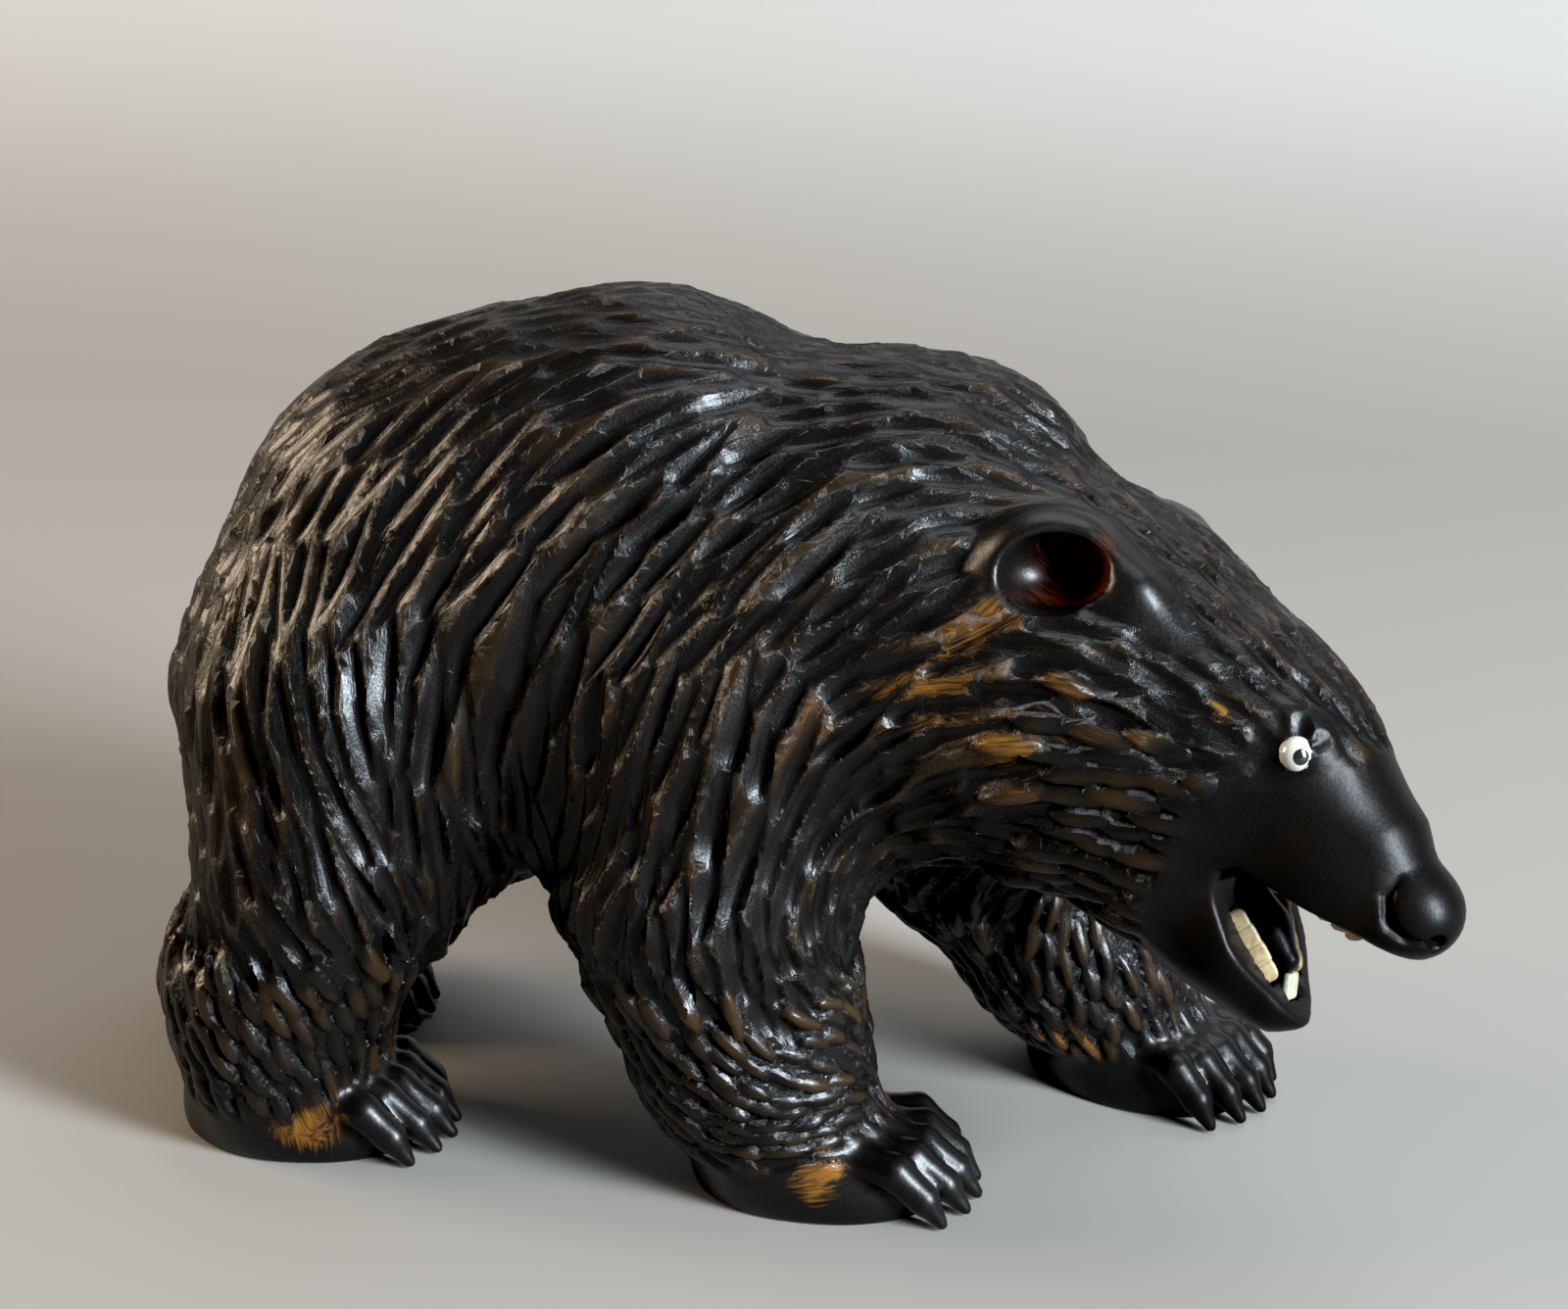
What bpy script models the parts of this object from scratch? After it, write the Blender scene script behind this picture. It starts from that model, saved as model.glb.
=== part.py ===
"""A carved wooden bear, walking with its head lowered and turned to its right, its mouth open.

The bear is one block of wood. Its eyes are glass beads, and its teeth are strips of bone let into the jaws.
It is made as a carver makes it: masses are joined into a rough block, the block is worked down to one
smoothly blended form, gouge cuts are taken out of it for the fur, and the hollows and seats are cut last.

The form is set out in carving units, 107.5 of them from rump to nose. +X is forward, +Y the bear's left and
+Z up. The head has axes of its own: forward along the muzzle, left, and up through the crown.
"""

import math

import bmesh
import bpy
import numpy as np
from mathutils import Matrix
from mathutils.bvhtree import BVHTree

# Driving dimensions, in metres
BODY_LENGTH = 0.170
EYE_DIAMETER = 0.0041
TOOTH_THICKNESS = 0.0013
UPPER_TEETH_SHOW = 0.0011
LOWER_TEETH_SHOW = 0.0011
TOOTH_ROOT = 0.0020
TOOTH_PITCH = 0.0021
FRONT_TOOTH_WIDTH = 0.0030
SEAT_CLEARANCE = 0.0003
LOCK_LENGTH = 0.0170
LOCK_WIDTH = 0.0056
LOCK_DEPTH = 0.0012

# The form's own measure, and how far the beads sink into the wood as a share of their diameter
SPAN = 107.5
UNIT = BODY_LENGTH / SPAN
EYE_SINK = 0.18

# How far the ridges between gouge cuts stand above the form, as a share of the cuts' depth, and how near two
# locks may lie, along and across, as shares of their length and width
LOCK_RISE = 0.45
LOCK_SPACING = (0.60, 0.74)

# How finely the block is worked, and how many triangles are left of it at the end
BLOCK_GRAIN = BODY_LENGTH / 150
BEAR_TRIANGLES = 7900
SEED = 11
POINTS_AT_ONCE = 4000

# How near to a seat's wall a point counts as on it, and how near to the floor it is planed to it, in metres
ON_SEAT = 0.00002
SOLE_PLANING = 0.00025

# Where the head stands, in units, and how it is turned, in degrees
HEAD_CENTRE = np.array([35.0, -8.5, 41.0])
HEAD_TURN = -27.0
HEAD_DIP = -22.0
HEAD_ROLL = 15.0

# Legs: joints from hip or shoulder to ankle with their radii, then the foot's middle, heading and length
LEGS = {
    "hind_right": {"joints": [(-26, -9, 36), (-28, -10.5, 24.5), (-33.4, -10.6, 13), (-33.6, -10.4, 6)],
                   "radii": [11.0, 9.9, 8.5, 8.1], "foot": (-31.6, -10.4), "heading": 0.0, "reach": 1.0},
    "hind_left": {"joints": [(-29, 8, 36), (-32, 10.5, 24), (-39, 10.5, 13), (-39.5, 10, 6)],
                  "radii": [11.0, 10.5, 8.2, 7.6], "foot": (-38.5, 10.0), "heading": 0.0, "reach": 0.88},
    "fore_right": {"joints": [(3, -9, 38), (1.5, -10.7, 25), (4.5, -11, 13), (7.5, -11, 6)],
                   "radii": [11.0, 10.8, 8.6, 7.8], "foot": (11.0, -11.0), "heading": 0.0, "reach": 1.0},
    "fore_left": {"joints": [(12, 8, 38), (19, 10, 24), (27.3, 11.8, 12), (31.4, 11.9, 6)],
                  "radii": [10.0, 9.6, 8.2, 6.6], "foot": (33.2, 11.8), "heading": -24.0, "reach": 0.94},
}
FOOT_RADII = (10.0, 6.6, 6.2)
TOE_COUNT = 5
SOLE_RIM = 2.2

# Features of the head, in head units: forward, to the side, up
EYE_PLACE = (12.6, 6.4, 5.6)
EAR_PLACE = (-9.4, 9.0, 7.0)
EAR_LIFT = 36.0
LIP_LEVEL = -3.5
MOUTH_BACK = 12.6
UPPER_STRIP = ((14.2, 4.6), (22.6, 2.7))
LOWER_STRIP = ((13.9, 4.2, -7.3), (18.6, 2.0, -10.4))
FRONT_TOOTH = (19.1, -10.6)

# How wide the slab is that cuts the mouth right through, how far forward it reaches, and how far a seat's
# cutter reaches out of the wood
MOUTH_CUT_WIDTH = 30.0
MOUTH_REACH = 34.0
SEAT_MOUTH = 2.0


def head_axes():
    """Forward, left and up of the head as rows: turned about the vertical, dipped, then rolled."""
    turn, dip, roll = (math.radians(angle) for angle in (HEAD_TURN, HEAD_DIP, HEAD_ROLL))
    forward = np.array([math.cos(dip) * math.cos(turn), math.cos(dip) * math.sin(turn), math.sin(dip)])
    left = np.array([-math.sin(turn), math.cos(turn), 0.0])
    up = np.cross(forward, left)
    return np.array([forward, left * math.cos(roll) - up * math.sin(roll),
                     left * math.sin(roll) + up * math.cos(roll)])


HEAD = head_axes()


def on_head(forward, left, up):
    """A point in the head's units, as a point in the bear's."""
    return HEAD_CENTRE + np.array([forward, left, up]) @ HEAD


def in_head(points):
    """Forward, left and up of points, in the head's units."""
    return ((points - HEAD_CENTRE) @ HEAD.T).T


# Masses


def ball(centre, radii, axes=None):
    """An ellipsoid: its centre, its radii, and the directions that they lie along."""
    return {"kind": "ball", "centre": np.array(centre, float), "radii": np.array(radii, float),
            "axes": np.eye(3) if axes is None else np.array(axes, float)}


def head_ball(centre, radii):
    return ball(on_head(*centre), radii, HEAD)


def limb(joints, radii):
    """A chain of tapered bars, each round, with its own radius at each end."""
    joints = [np.array(joint, float) for joint in joints]
    return [{"kind": "bar", "start": start, "end": end, "radii": (first, last)}
            for start, end, first, last in zip(joints, joints[1:], radii, radii[1:])]


def head_limb(joints, radii):
    return limb([on_head(*joint) for joint in joints], radii)


def torso():
    """Rump, seat, barrel, chest and hump, then the thighs and upper arms that swell from them."""
    return [
        ball((-16.0, 0, 43.5), (23.2, 17.0, 21.8)),
        ball((-28.5, 0, 34), (16.0, 13.5, 15.0)),
        ball((-5.0, 0, 46.0), (20.0, 16.5, 22.3)),
        ball((10.5, 0, 43.0), (14.5, 15.5, 19.0)),
        ball((16.0, -0.5, 55.8), (12.5, 9.0, 8.8)),
        ball((-25, -8.5, 34), (13.5, 9.0, 15.0)),
        ball((-27, 8.5, 34), (13.5, 9.0, 15.0)),
        ball((4, -9.5, 38), (10.5, 9.0, 16.0)),
        ball((12, 9.0, 38), (10.5, 8.5, 16.0)),
    ]


def neck_and_skull():
    neck = limb([(13.0, -1.0, 43.0), (27.0, -5.0, 41.5)], [17.0, 14.6])
    return neck + [
        head_ball((-5.0, 0, 1.0), (14.5, 10.8, 10.6)),
        head_ball((6.6, 0, 1.5), (11.8, 8.6, 9.3)),
        head_ball((2.0, 0, -5.5), (12.0, 9.4, 9.0)),
    ]


def muzzle():
    """The bridge, the lips that hang at its sides, and the nose pad."""
    found = head_limb([(8.0, 0, -0.5), (16.0, 0, 0.6), (19.0, 0, 0.5), (21.5, 0, -0.6), (23.0, 0, -0.8)],
                      [8.0, 5.2, 4.4, 3.1, 2.8])
    for side in (-1, 1):
        found += head_limb([(10.5, side * 3.2, -2.6), (17, side * 2.4, -2.2), (22.5, side * 1.6, -1.8)],
                           [4.6, 3.6, 2.4])
    return found + [head_ball((24.8, 0, -0.5), (2.6, 3.2, 3.0))]


def nose_wings():
    """A thin rim behind each side of the nose pad, which runs down and curls forward under it."""
    found = []
    for side in (-1, 1):
        found += head_limb([(21.5, side * 1.9, 1.3), (22.2, side * 3.1, -0.4), (23.4, side * 3.3, -1.8),
                            (25.0, side * 2.4, -2.2)], [0.45, 0.75, 0.75, 0.4])
    return found


def lower_jaw():
    found = head_limb([(6.0, 0, -8.5), (13.5, 0, -9.3), (17.4, 0, -11.2), (19.6, 0, -12.0), (20.8, 0, -11.9)],
                      [6.6, 5.6, 3.2, 1.7, 0.45])
    for side in (-1, 1):
        found += head_limb([(9.0, side * 3.4, -8.4), (14.5, side * 2.7, -9.5), (18.0, side * 1.0, -11.2)],
                           [4.6, 3.6, 2.4])
    return found


def brows():
    return [head_ball((11.0, side * 4.4, 6.2), (3.3, 2.1, 2.0)) for side in (-1, 1)]


def ear_axes(side):
    """An ear's own axes: along its opening, across it, and out of it, forward and to the side."""
    out = np.array([0.42, 0.85 * side, 0.30]) @ HEAD
    out = out / np.linalg.norm(out)
    lift = math.radians(EAR_LIFT)
    along = HEAD[0] * math.cos(lift) + HEAD[2] * math.sin(lift)
    along = along - out * (along @ out)
    along = along / np.linalg.norm(along)
    return np.array([along, np.cross(out, along), out])


def ear_middle(side):
    forward, aside, up = EAR_PLACE
    return on_head(forward, side * aside, up)


def ears():
    """A round pad for each ear, and the ridge that runs forward from its top."""
    found = []
    for side in (-1, 1):
        found += [ball(ear_middle(side), (5.6, 4.5, 3.2), ear_axes(side))]
        found += head_limb([(-8, side * 8.2, 9.4), (-3, side * 7.9, 8.7), (2, side * 6.9, 6.9)],
                           [2.0, 1.7, 1.2])
    return found


def ear_cups():
    """The deep oval cups, set a little low in the ears so that the upper rims are the thick ones."""
    found = []
    for side in (-1, 1):
        axes = ear_axes(side)
        found.append(ball(ear_middle(side) + np.array([0.1, 0.5 * side, 3.0]) @ axes, (3.9, 2.8, 4.5), axes))
    return found


def foot_frame(leg):
    """The foot's middle on the floor, its forward step and its sideways step."""
    turn = math.radians(leg["heading"])
    ahead = np.array([math.cos(turn), math.sin(turn), 0.0])
    aside = np.array([-math.sin(turn), math.cos(turn), 0.0])
    return np.array([*leg["foot"], 0.0]), ahead, aside


def toes(leg):
    """Toes fan out across the foot, arch over and run down into claws."""
    middle, ahead, aside = foot_frame(leg)
    ahead = ahead * leg["reach"]
    found = []
    for place in np.linspace(-1, 1, TOE_COUNT):
        out = aside * 4.9 * place
        length = 1.0 - 0.16 * place * place
        knuckle = middle + out * 0.75 + ahead * 2.5 + (0, 0, 4.6)
        bend = middle + out + ahead * 7.5 * length + (0, 0, 4.4)
        tip = middle + out * 1.05 + ahead * 11.8 * length + (0, 0, 0.9)
        found += limb([knuckle, bend, tip], [1.5, 1.55, 0.75])
    return found


def pad(leg):
    middle, ahead, aside = foot_frame(leg)
    return ball(middle + (0, 0, 1.6) - 0.5 * ahead, FOOT_RADII, [ahead, aside, (0, 0, 1)])


# The blended form


def soft_union(first, second, reach):
    """The nearer of two surfaces, with a fillet of that reach where they meet."""
    share = np.clip(0.5 + 0.5 * (second - first) / reach, 0, 1)
    return second * (1 - share) + first * share - reach * share * (1 - share)


def distance(mass, points):
    """How far points lie outside one mass, by the usual estimates for an ellipsoid and a tapered bar."""
    if mass["kind"] == "ball":
        local = (points - mass["centre"]) @ mass["axes"].T
        scaled = np.linalg.norm(local / mass["radii"], axis=1)
        slope = np.linalg.norm(local / mass["radii"] ** 2, axis=1)
        return scaled * (scaled - 1) / np.maximum(slope, 1e-9)
    along = mass["end"] - mass["start"]
    share = np.clip((points - mass["start"]) @ along / (along @ along), 0, 1)
    near = mass["start"] + share[:, None] * along
    first, last = mass["radii"]
    return np.linalg.norm(points - near, axis=1) - (first * (1 - share) + last * share)


def joined(masses, points, reach):
    whole = distance(masses[0], points)
    for mass in masses[1:]:
        whole = soft_union(whole, distance(mass, points), reach)
    return whole


def form(points):
    """How far points lie outside the blended bear, before any hollow is cut. Fillets are wide on the body,
    narrow on the head and narrowest between the toes."""
    whole = joined(torso() + neck_and_skull(), points, 5.0)
    whole = soft_union(whole, joined(muzzle(), points, 2.0), 3.0)
    whole = soft_union(whole, joined(nose_wings(), points, 0.5), 0.5)
    whole = soft_union(whole, joined(lower_jaw(), points, 2.0), 2.0)
    whole = soft_union(whole, joined(brows(), points, 1.0), 1.5)
    for leg in LEGS.values():
        whole = soft_union(whole, joined(limb(leg["joints"], leg["radii"]), points, 4.0), 5.0)
        whole = soft_union(whole, joined([pad(leg)] + toes(leg), points, 0.5), 1.5)
    return soft_union(whole, joined(ears(), points, 0.8), 1.2)


def slope(points, step=0.05):
    """The form's value at points, and its gradient there."""
    here = form(points)
    ahead = [form(points + axis * step) for axis in np.eye(3)]
    return here, (np.stack(ahead, axis=1) - here[:, None]) / step


def settle(points, rounds=3):
    """Moves points onto the form, and gives the form's outward directions there."""
    for _ in range(rounds):
        here, gradient = slope(points)
        steep = np.maximum((gradient * gradient).sum(axis=1), 0.2)
        points = points - gradient * np.clip(here / steep, -1.5, 1.5)[:, None]
    _, gradient = slope(points)
    return points, gradient / np.maximum(np.linalg.norm(gradient, axis=1), 1e-9)[:, None]


# Fur

# How the fur lies: a place on the bear and the way that the hair runs there. The places on the flanks and the
# head are given for the left side and mirrored for the right
FUR = [
    ((-8, 0, 68), (-1, 0, -0.1)),
    ((-30, 0, 60), (-0.8, 0, -0.6)),
    ((-44, 0, 38), (-0.1, 0, -1)),
    ((12, 0, 64), (-1, 0, -0.1)),
    ((24, 0, 58), (-1, 0, 0.3)),
    ((20, 0, 30), (-0.3, 0, -0.9)),
    ((-8, 0, 24), (-1, 0, 0)),
]
FLANK_FUR = [
    ((-15, 14, 56), (-0.7, 0.3, -0.75)),
    ((-12, 17, 42), (-0.15, 0, -1)),
    ((-12, 15, 30), (0.2, -0.2, -1)),
    ((-30, 16, 40), (0.3, 0, -0.93)),
    ((-28, 18, 26), (0.35, 0, -0.93)),
    ((-42, 10, 28), (0.1, 0, -1)),
    ((-34, 18, 12), (0.45, 0, -0.85)),
    ((8, 15, 54), (-0.7, 0.3, -0.7)),
    ((5, 18, 38), (-0.2, 0, -1)),
    ((-4, 15, 30), (-0.5, 0, -0.85)),
    ((4, 18, 18), (0.1, 0, -1)),
    ((12, 14, 16), (0.6, 0, -0.7)),
    ((-4, 12, 16), (-0.3, 0, -0.9)),
    ((24, 14, 50), (-0.75, 0.2, -0.6)),
    ((20, 15, 36), (-0.6, 0, -0.8)),
    ((30, 10, 10), (0.4, 0, -0.9)),
]
HEAD_FUR = [
    ((-8, 0, 13), (-1, 0, 0.05)),
    ((6, 0, 10), (-1, 0, 0.05)),
    ((4, 9, 2), (-1, 0, -0.25)),
    ((-6, 11, 0), (-1, 0, -0.4)),
    ((6, 7, -9), (-1, 0, -0.3)),
    ((-4, 8, -13), (-1, 0, -0.35)),
]


def hair_guides():
    """Every place and direction of the fur, in the bear's units."""
    places = [place for place, _ in FUR]
    ways = [way for _, way in FUR]
    for side in (-1, 1):
        mirror = np.array([1, side, 1])
        places += [np.array(place) * mirror for place, _ in FLANK_FUR]
        ways += [np.array(way) * mirror for _, way in FLANK_FUR]
        places += [on_head(*(np.array(place) * mirror)) for place, _ in HEAD_FUR]
        ways += [(np.array(way) * mirror) @ HEAD for _, way in HEAD_FUR]
    ways = np.array(ways, float)
    return np.array(places, float), ways / np.linalg.norm(ways, axis=1)[:, None]


def hair_ways(points, normals):
    """The way that the hair runs at points, blended from the near guides and laid along the surface."""
    places, ways = hair_guides()
    apart = np.linalg.norm(points[:, None] - places[None], axis=2)
    blend = (1 / (apart + 2.0) ** 4) @ ways
    blend = blend - normals * (blend * normals).sum(axis=1)[:, None]
    return blend / np.maximum(np.linalg.norm(blend, axis=1), 1e-9)[:, None]


def ramp(values, low, high):
    share = np.clip((values - low) / (high - low), 0, 1)
    return share * share * (3 - 2 * share)


def furred(points):
    """1 where the wood carries fur, down to 0 on muzzle, jaw, ears, eyes, toes and the rims of the soles."""
    forward, _, up = in_head(points)
    brow = 6.5 * ramp(up, 3.5, 6.5)
    share = 1 - ramp(forward, 8.5 + brow, 10.0 + brow) * ramp(points[:, 0], 30, 36)
    share = share * ramp(joined(ears(), points, 0.8), 0.3, 1.3)
    for leg in LEGS.values():
        share = share * ramp(joined(toes(leg), points, 0.5), 0.2, 1.2)
    return share * ramp(points[:, 2], SOLE_RIM, SOLE_RIM + 2)


def lock_places(points, normals, length, width):
    """Middles of the locks: points of the surface in a mixed order, kept while they crowd no earlier one."""
    ways = hair_ways(points, normals)
    spacing = np.array(LOCK_SPACING) * (length, width)
    kept = np.empty((0, 3))
    chosen = []
    open_wood = np.flatnonzero(furred(points) > 0.4)
    for index in np.random.default_rng(SEED).permutation(open_wood):
        gap = kept - points[index]
        along = gap @ ways[index]
        across = (gap * gap).sum(axis=1) - along * along
        if not len(gap) or ((along / spacing[0]) ** 2 + across / spacing[1] ** 2).min() > 1:
            kept = np.vstack([kept, points[index]])
            chosen.append(index)
    return points[chosen], ways[chosen], normals[chosen]


def lock_heights(points, normals, length, width, depth):
    """How deep the gouges go at points. A lock is one gouge cut: it starts at a point, widens, and ends in a
    blunt stop at its deep end, and where two cuts meet a sharp ridge is left."""
    places, ways, faces = lock_places(points, normals, length, width)
    cross = np.cross(faces, ways)
    heights = np.zeros(len(points))
    for start in range(0, len(points), POINTS_AT_ONCE):
        part = slice(start, start + POINTS_AT_ONCE)
        gap = points[part, None] - places[None]
        along = (gap * ways).sum(axis=2) / length + 0.5
        across = (gap * cross).sum(axis=2) / width
        off = (gap * faces).sum(axis=2) / width
        shape = np.clip(along, 0, 1) ** 0.6 * (1 - ramp(along, 0.86, 1.02))
        near = (np.abs(off) < 1.2) & (normals[part] @ faces.T > 0.2)
        cut = -depth * shape + depth * (2 * across) ** 2
        cut = np.where(near & (along > -0.1) & (along < 1.1), cut, 0)
        heights[part] = np.minimum(cut.min(axis=1), 0)
    return (heights + LOCK_RISE * depth) * furred(points)


# Blender objects


def clear_scene():
    for thing in list(bpy.data.objects):
        bpy.data.objects.remove(thing)


def collection(name):
    made = bpy.data.collections.new(name)
    bpy.context.scene.collection.children.link(made)
    return made


def material(name, colour, roughness):
    made = bpy.data.materials.new(name)
    made.use_nodes = True
    shader = made.node_tree.nodes["Principled BSDF"]
    shader.inputs["Base Color"].default_value = (*colour, 1)
    shader.inputs["Roughness"].default_value = roughness
    shader.inputs["Metallic"].default_value = 0.0
    return made


def new_object(name, mesh, home, stuff=None):
    made = bpy.data.objects.new(name, mesh)
    home.objects.link(made)
    if stuff:
        mesh.materials.append(stuff)
    return made


def mesh_from(shape, name):
    mesh = bpy.data.meshes.new(name)
    shape.to_mesh(mesh)
    shape.free()
    return mesh


def frame_matrix(centre, axes, radii):
    """The transform that carries a unit ball, in units, to a ball with that centre, those axes and radii."""
    return Matrix([[axes[column][row] * radii[column] * UNIT for column in range(3)]
                   + [centre[row] * UNIT] for row in range(3)] + [[0, 0, 0, 1]])


def add_ball(shape, centre, axes, radii, segments=32):
    bmesh.ops.create_uvsphere(shape, u_segments=segments, v_segments=segments // 2, radius=1,
                              matrix=frame_matrix(centre, axes, radii))


def add_bar(shape, bar):
    """A tapered bar is a cone between two balls."""
    start, end = bar["start"], bar["end"]
    along = end - start
    length = np.linalg.norm(along)
    for centre, radius in ((start, bar["radii"][0]), (end, bar["radii"][1])):
        add_ball(shape, centre, np.eye(3), (radius,) * 3, 24)
    third = along / length
    first = np.cross(third, (0.0, 0.31, 0.95))
    first = first / np.linalg.norm(first)
    second = np.cross(third, first)
    middle = (start + end) / 2
    bmesh.ops.create_cone(shape, cap_ends=True, segments=24, radius1=bar["radii"][0], radius2=bar["radii"][1],
                          depth=length, matrix=frame_matrix(middle, [first, second, third], (1, 1, 1)))


def all_masses():
    found = torso() + neck_and_skull() + muzzle() + nose_wings() + lower_jaw() + brows() + ears()
    for leg in LEGS.values():
        found += limb(leg["joints"], leg["radii"]) + [pad(leg)] + toes(leg)
    return found


def rough_block(home):
    """All the masses in one mesh, made one skin by a voxel remesh."""
    whole = bmesh.new()
    for mass in all_masses():
        shape = bmesh.new()
        if mass["kind"] == "ball":
            add_ball(shape, mass["centre"], mass["axes"], mass["radii"])
        else:
            add_bar(shape, mass)
        piece = mesh_from(shape, "mass")
        whole.from_mesh(piece)
        bpy.data.meshes.remove(piece)
    block = new_object("bear", mesh_from(whole, "bear"), home)
    one_skin(block)
    return block


def one_skin(block):
    """Remakes a block's surface as one closed skin of even grain."""
    remesh = block.modifiers.new("one_skin", "REMESH")
    remesh.mode = "VOXEL"
    remesh.voxel_size = BLOCK_GRAIN
    apply_modifiers(block)


def apply_modifiers(thing):
    """Replaces an object's mesh with what its modifiers make of it."""
    graph = bpy.context.evaluated_depsgraph_get()
    mesh = bpy.data.meshes.new_from_object(thing.evaluated_get(graph))
    thing.modifiers.clear()
    thing.data = mesh


def read_points(mesh):
    points = np.empty(len(mesh.vertices) * 3, np.float32)
    mesh.vertices.foreach_get("co", points)
    return points.reshape(-1, 3).astype(float)


def write_points(mesh, points):
    mesh.vertices.foreach_set("co", points.astype(np.float32).ravel())
    mesh.update()


def carve_fur(block):
    """Works the block down to the form, then takes a gouge cut out of it for each lock of hair."""
    points, normals = settle(read_points(block.data) / UNIT)
    heights = lock_heights(points, normals, LOCK_LENGTH / UNIT, LOCK_WIDTH / UNIT, LOCK_DEPTH / UNIT)
    write_points(block.data, (points + normals * heights[:, None]) * UNIT)


def cut(thing, cutter):
    boolean = thing.modifiers.new("cut", "BOOLEAN")
    boolean.operation = "DIFFERENCE"
    boolean.solver = "EXACT"
    boolean.object = cutter
    apply_modifiers(thing)


def new_cutter(name, mesh, home):
    made = new_object(name, mesh, home)
    made.hide_render = True
    made.display_type = "WIRE"
    return made


def ball_cutter(name, centre, axes, radii, home):
    shape = bmesh.new()
    add_ball(shape, centre, axes, radii)
    return new_cutter(name, mesh_from(shape, name), home)


def slab(outline, thickness, centre, axes):
    """A flat outline, given along the first two axes in units, with a thickness along the third."""
    shape = bmesh.new()
    place = frame_matrix(centre, axes, (1, 1, 1))
    low = [shape.verts.new(place @ Matrix.Translation((x, y, -thickness / 2)).translation)
           for x, y in outline]
    face = shape.faces.new(low)
    grown = bmesh.ops.extrude_face_region(shape, geom=[face])["geom"]
    rise = place.to_3x3().col[2] * thickness
    bmesh.ops.translate(shape, verts=[v for v in grown if isinstance(v, bmesh.types.BMVert)], vec=rise)
    bmesh.ops.recalc_face_normals(shape, faces=shape.faces)
    return mesh_from(shape, "slab")


def mouth_cutter(home):
    """The open mouth from the side: the lip line above, the jaw's rim below and a slanting back between."""
    back = [(MOUTH_BACK, -5.4), (MOUTH_BACK, LIP_LEVEL - 0.8), (MOUTH_BACK + 0.8, LIP_LEVEL)]
    ahead = [(MOUTH_REACH, LIP_LEVEL), (MOUTH_REACH, -12.3)]
    rim = [(22.0, -12.3), (21.0, -11.8), (19.0, -10.7), (17.3, -9.7), (15.5, -8.5), (13.4, -6.7)]
    axes = [HEAD[0], HEAD[2], np.cross(HEAD[0], HEAD[2])]
    mesh = slab(back + ahead + rim, MOUTH_CUT_WIDTH, on_head(0, 0, 0), axes)
    return new_cutter("mouth_cut", mesh, home)


def hollow_cutters(home):
    """The hollow of the mouth between the rows of teeth, the cups of the ears, and the nostrils."""
    found = [ball_cutter("palate_cut", on_head(14.6, 0, -7.2), HEAD, (6.2, 3.2, 4.9), home)]
    for number, cup in enumerate(ear_cups()):
        found.append(ball_cutter(f"ear_cut_{number}", cup["centre"], cup["axes"], cup["radii"], home))
    for side in (-1, 1):
        found.append(ball_cutter(f"nostril_cut_{side}", on_head(26.6, side * 1.7, -0.9), HEAD,
                                 (1.3, 0.7, 0.6), home))
    return found


def floor_cutter(home):
    """A block under the bear, whose top is the floor that its soles stand on."""
    shape = bmesh.new()
    side = 2 * BODY_LENGTH
    bmesh.ops.create_cube(shape, size=side, matrix=Matrix.Translation((0, 0, -side / 2)))
    return new_cutter("floor_cut", mesh_from(shape, "floor_cut"), home)


def thin_out(thing, triangles, seats):
    """Thins a mesh out to about that many triangles. The walls of the seats stay as they were cut, and the
    soles are planed flat again."""
    tidy_edges(thing.data)
    walls = [BVHTree.FromPolygons([v.co for v in seat.data.vertices],
                                  [f.vertices for f in seat.data.polygons]) for seat in seats]
    free = [v.index for v in thing.data.vertices
            if all(wall.find_nearest(v.co, ON_SEAT)[0] is None for wall in walls)]
    thing.vertex_groups.new(name="free").add(free, 1.0, "REPLACE")
    decimate = thing.modifiers.new("thin_out", "DECIMATE")
    decimate.decimate_type = "COLLAPSE"
    decimate.use_collapse_triangulate = True
    decimate.vertex_group = "free"
    decimate.ratio = triangles / len(thing.data.polygons)
    apply_modifiers(thing)
    points = read_points(thing.data)
    points[points[:, 2] < SOLE_PLANING, 2] = 0.0
    write_points(thing.data, points)
    trim_flaps(thing.data)


def tidy_edges(mesh):
    """Turns a cut mesh into triangles, without the needle-thin ones that cuts leave."""
    shape = bmesh.new()
    shape.from_mesh(mesh)
    bmesh.ops.dissolve_degenerate(shape, dist=ON_SEAT, edges=shape.edges)
    bmesh.ops.triangulate(shape, faces=shape.faces)
    shape.to_mesh(mesh)
    shape.free()
    trim_flaps(mesh)


def trim_flaps(mesh):
    """Takes off faces that hang from the skin by one edge, until none is left."""
    shape = bmesh.new()
    shape.from_mesh(mesh)
    flaps = True
    while flaps:
        flaps = [face for face in shape.faces if any(len(edge.link_faces) == 1 for edge in face.edges)
                 and any(len(edge.link_faces) > 2 for edge in face.edges)]
        bmesh.ops.delete(shape, geom=flaps, context="FACES")
    shape.to_mesh(mesh)
    shape.free()


# Eyes and teeth


def eye_middle(side):
    """A bead's centre: where its place meets the wood, less what it sinks in."""
    forward, aside, up = EYE_PLACE
    surface, normal = settle(on_head(forward, side * aside, up)[None])
    sink = EYE_SINK * EYE_DIAMETER / UNIT
    return surface[0] - normal[0] * sink


def add_eye(name, side, home, glass):
    shape = bmesh.new()
    radius = EYE_DIAMETER / 2 / UNIT
    add_ball(shape, eye_middle(side), HEAD, (radius,) * 3, 20)
    eye = new_object(name, mesh_from(shape, name), home, glass)
    eye.data.shade_smooth()
    return eye


def eye_seat(side, home):
    radius = (EYE_DIAMETER / 2 + SEAT_CLEARANCE) / UNIT
    return ball_cutter(f"eye_seat_{side}", eye_middle(side), HEAD, (radius,) * 3, home)


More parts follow.
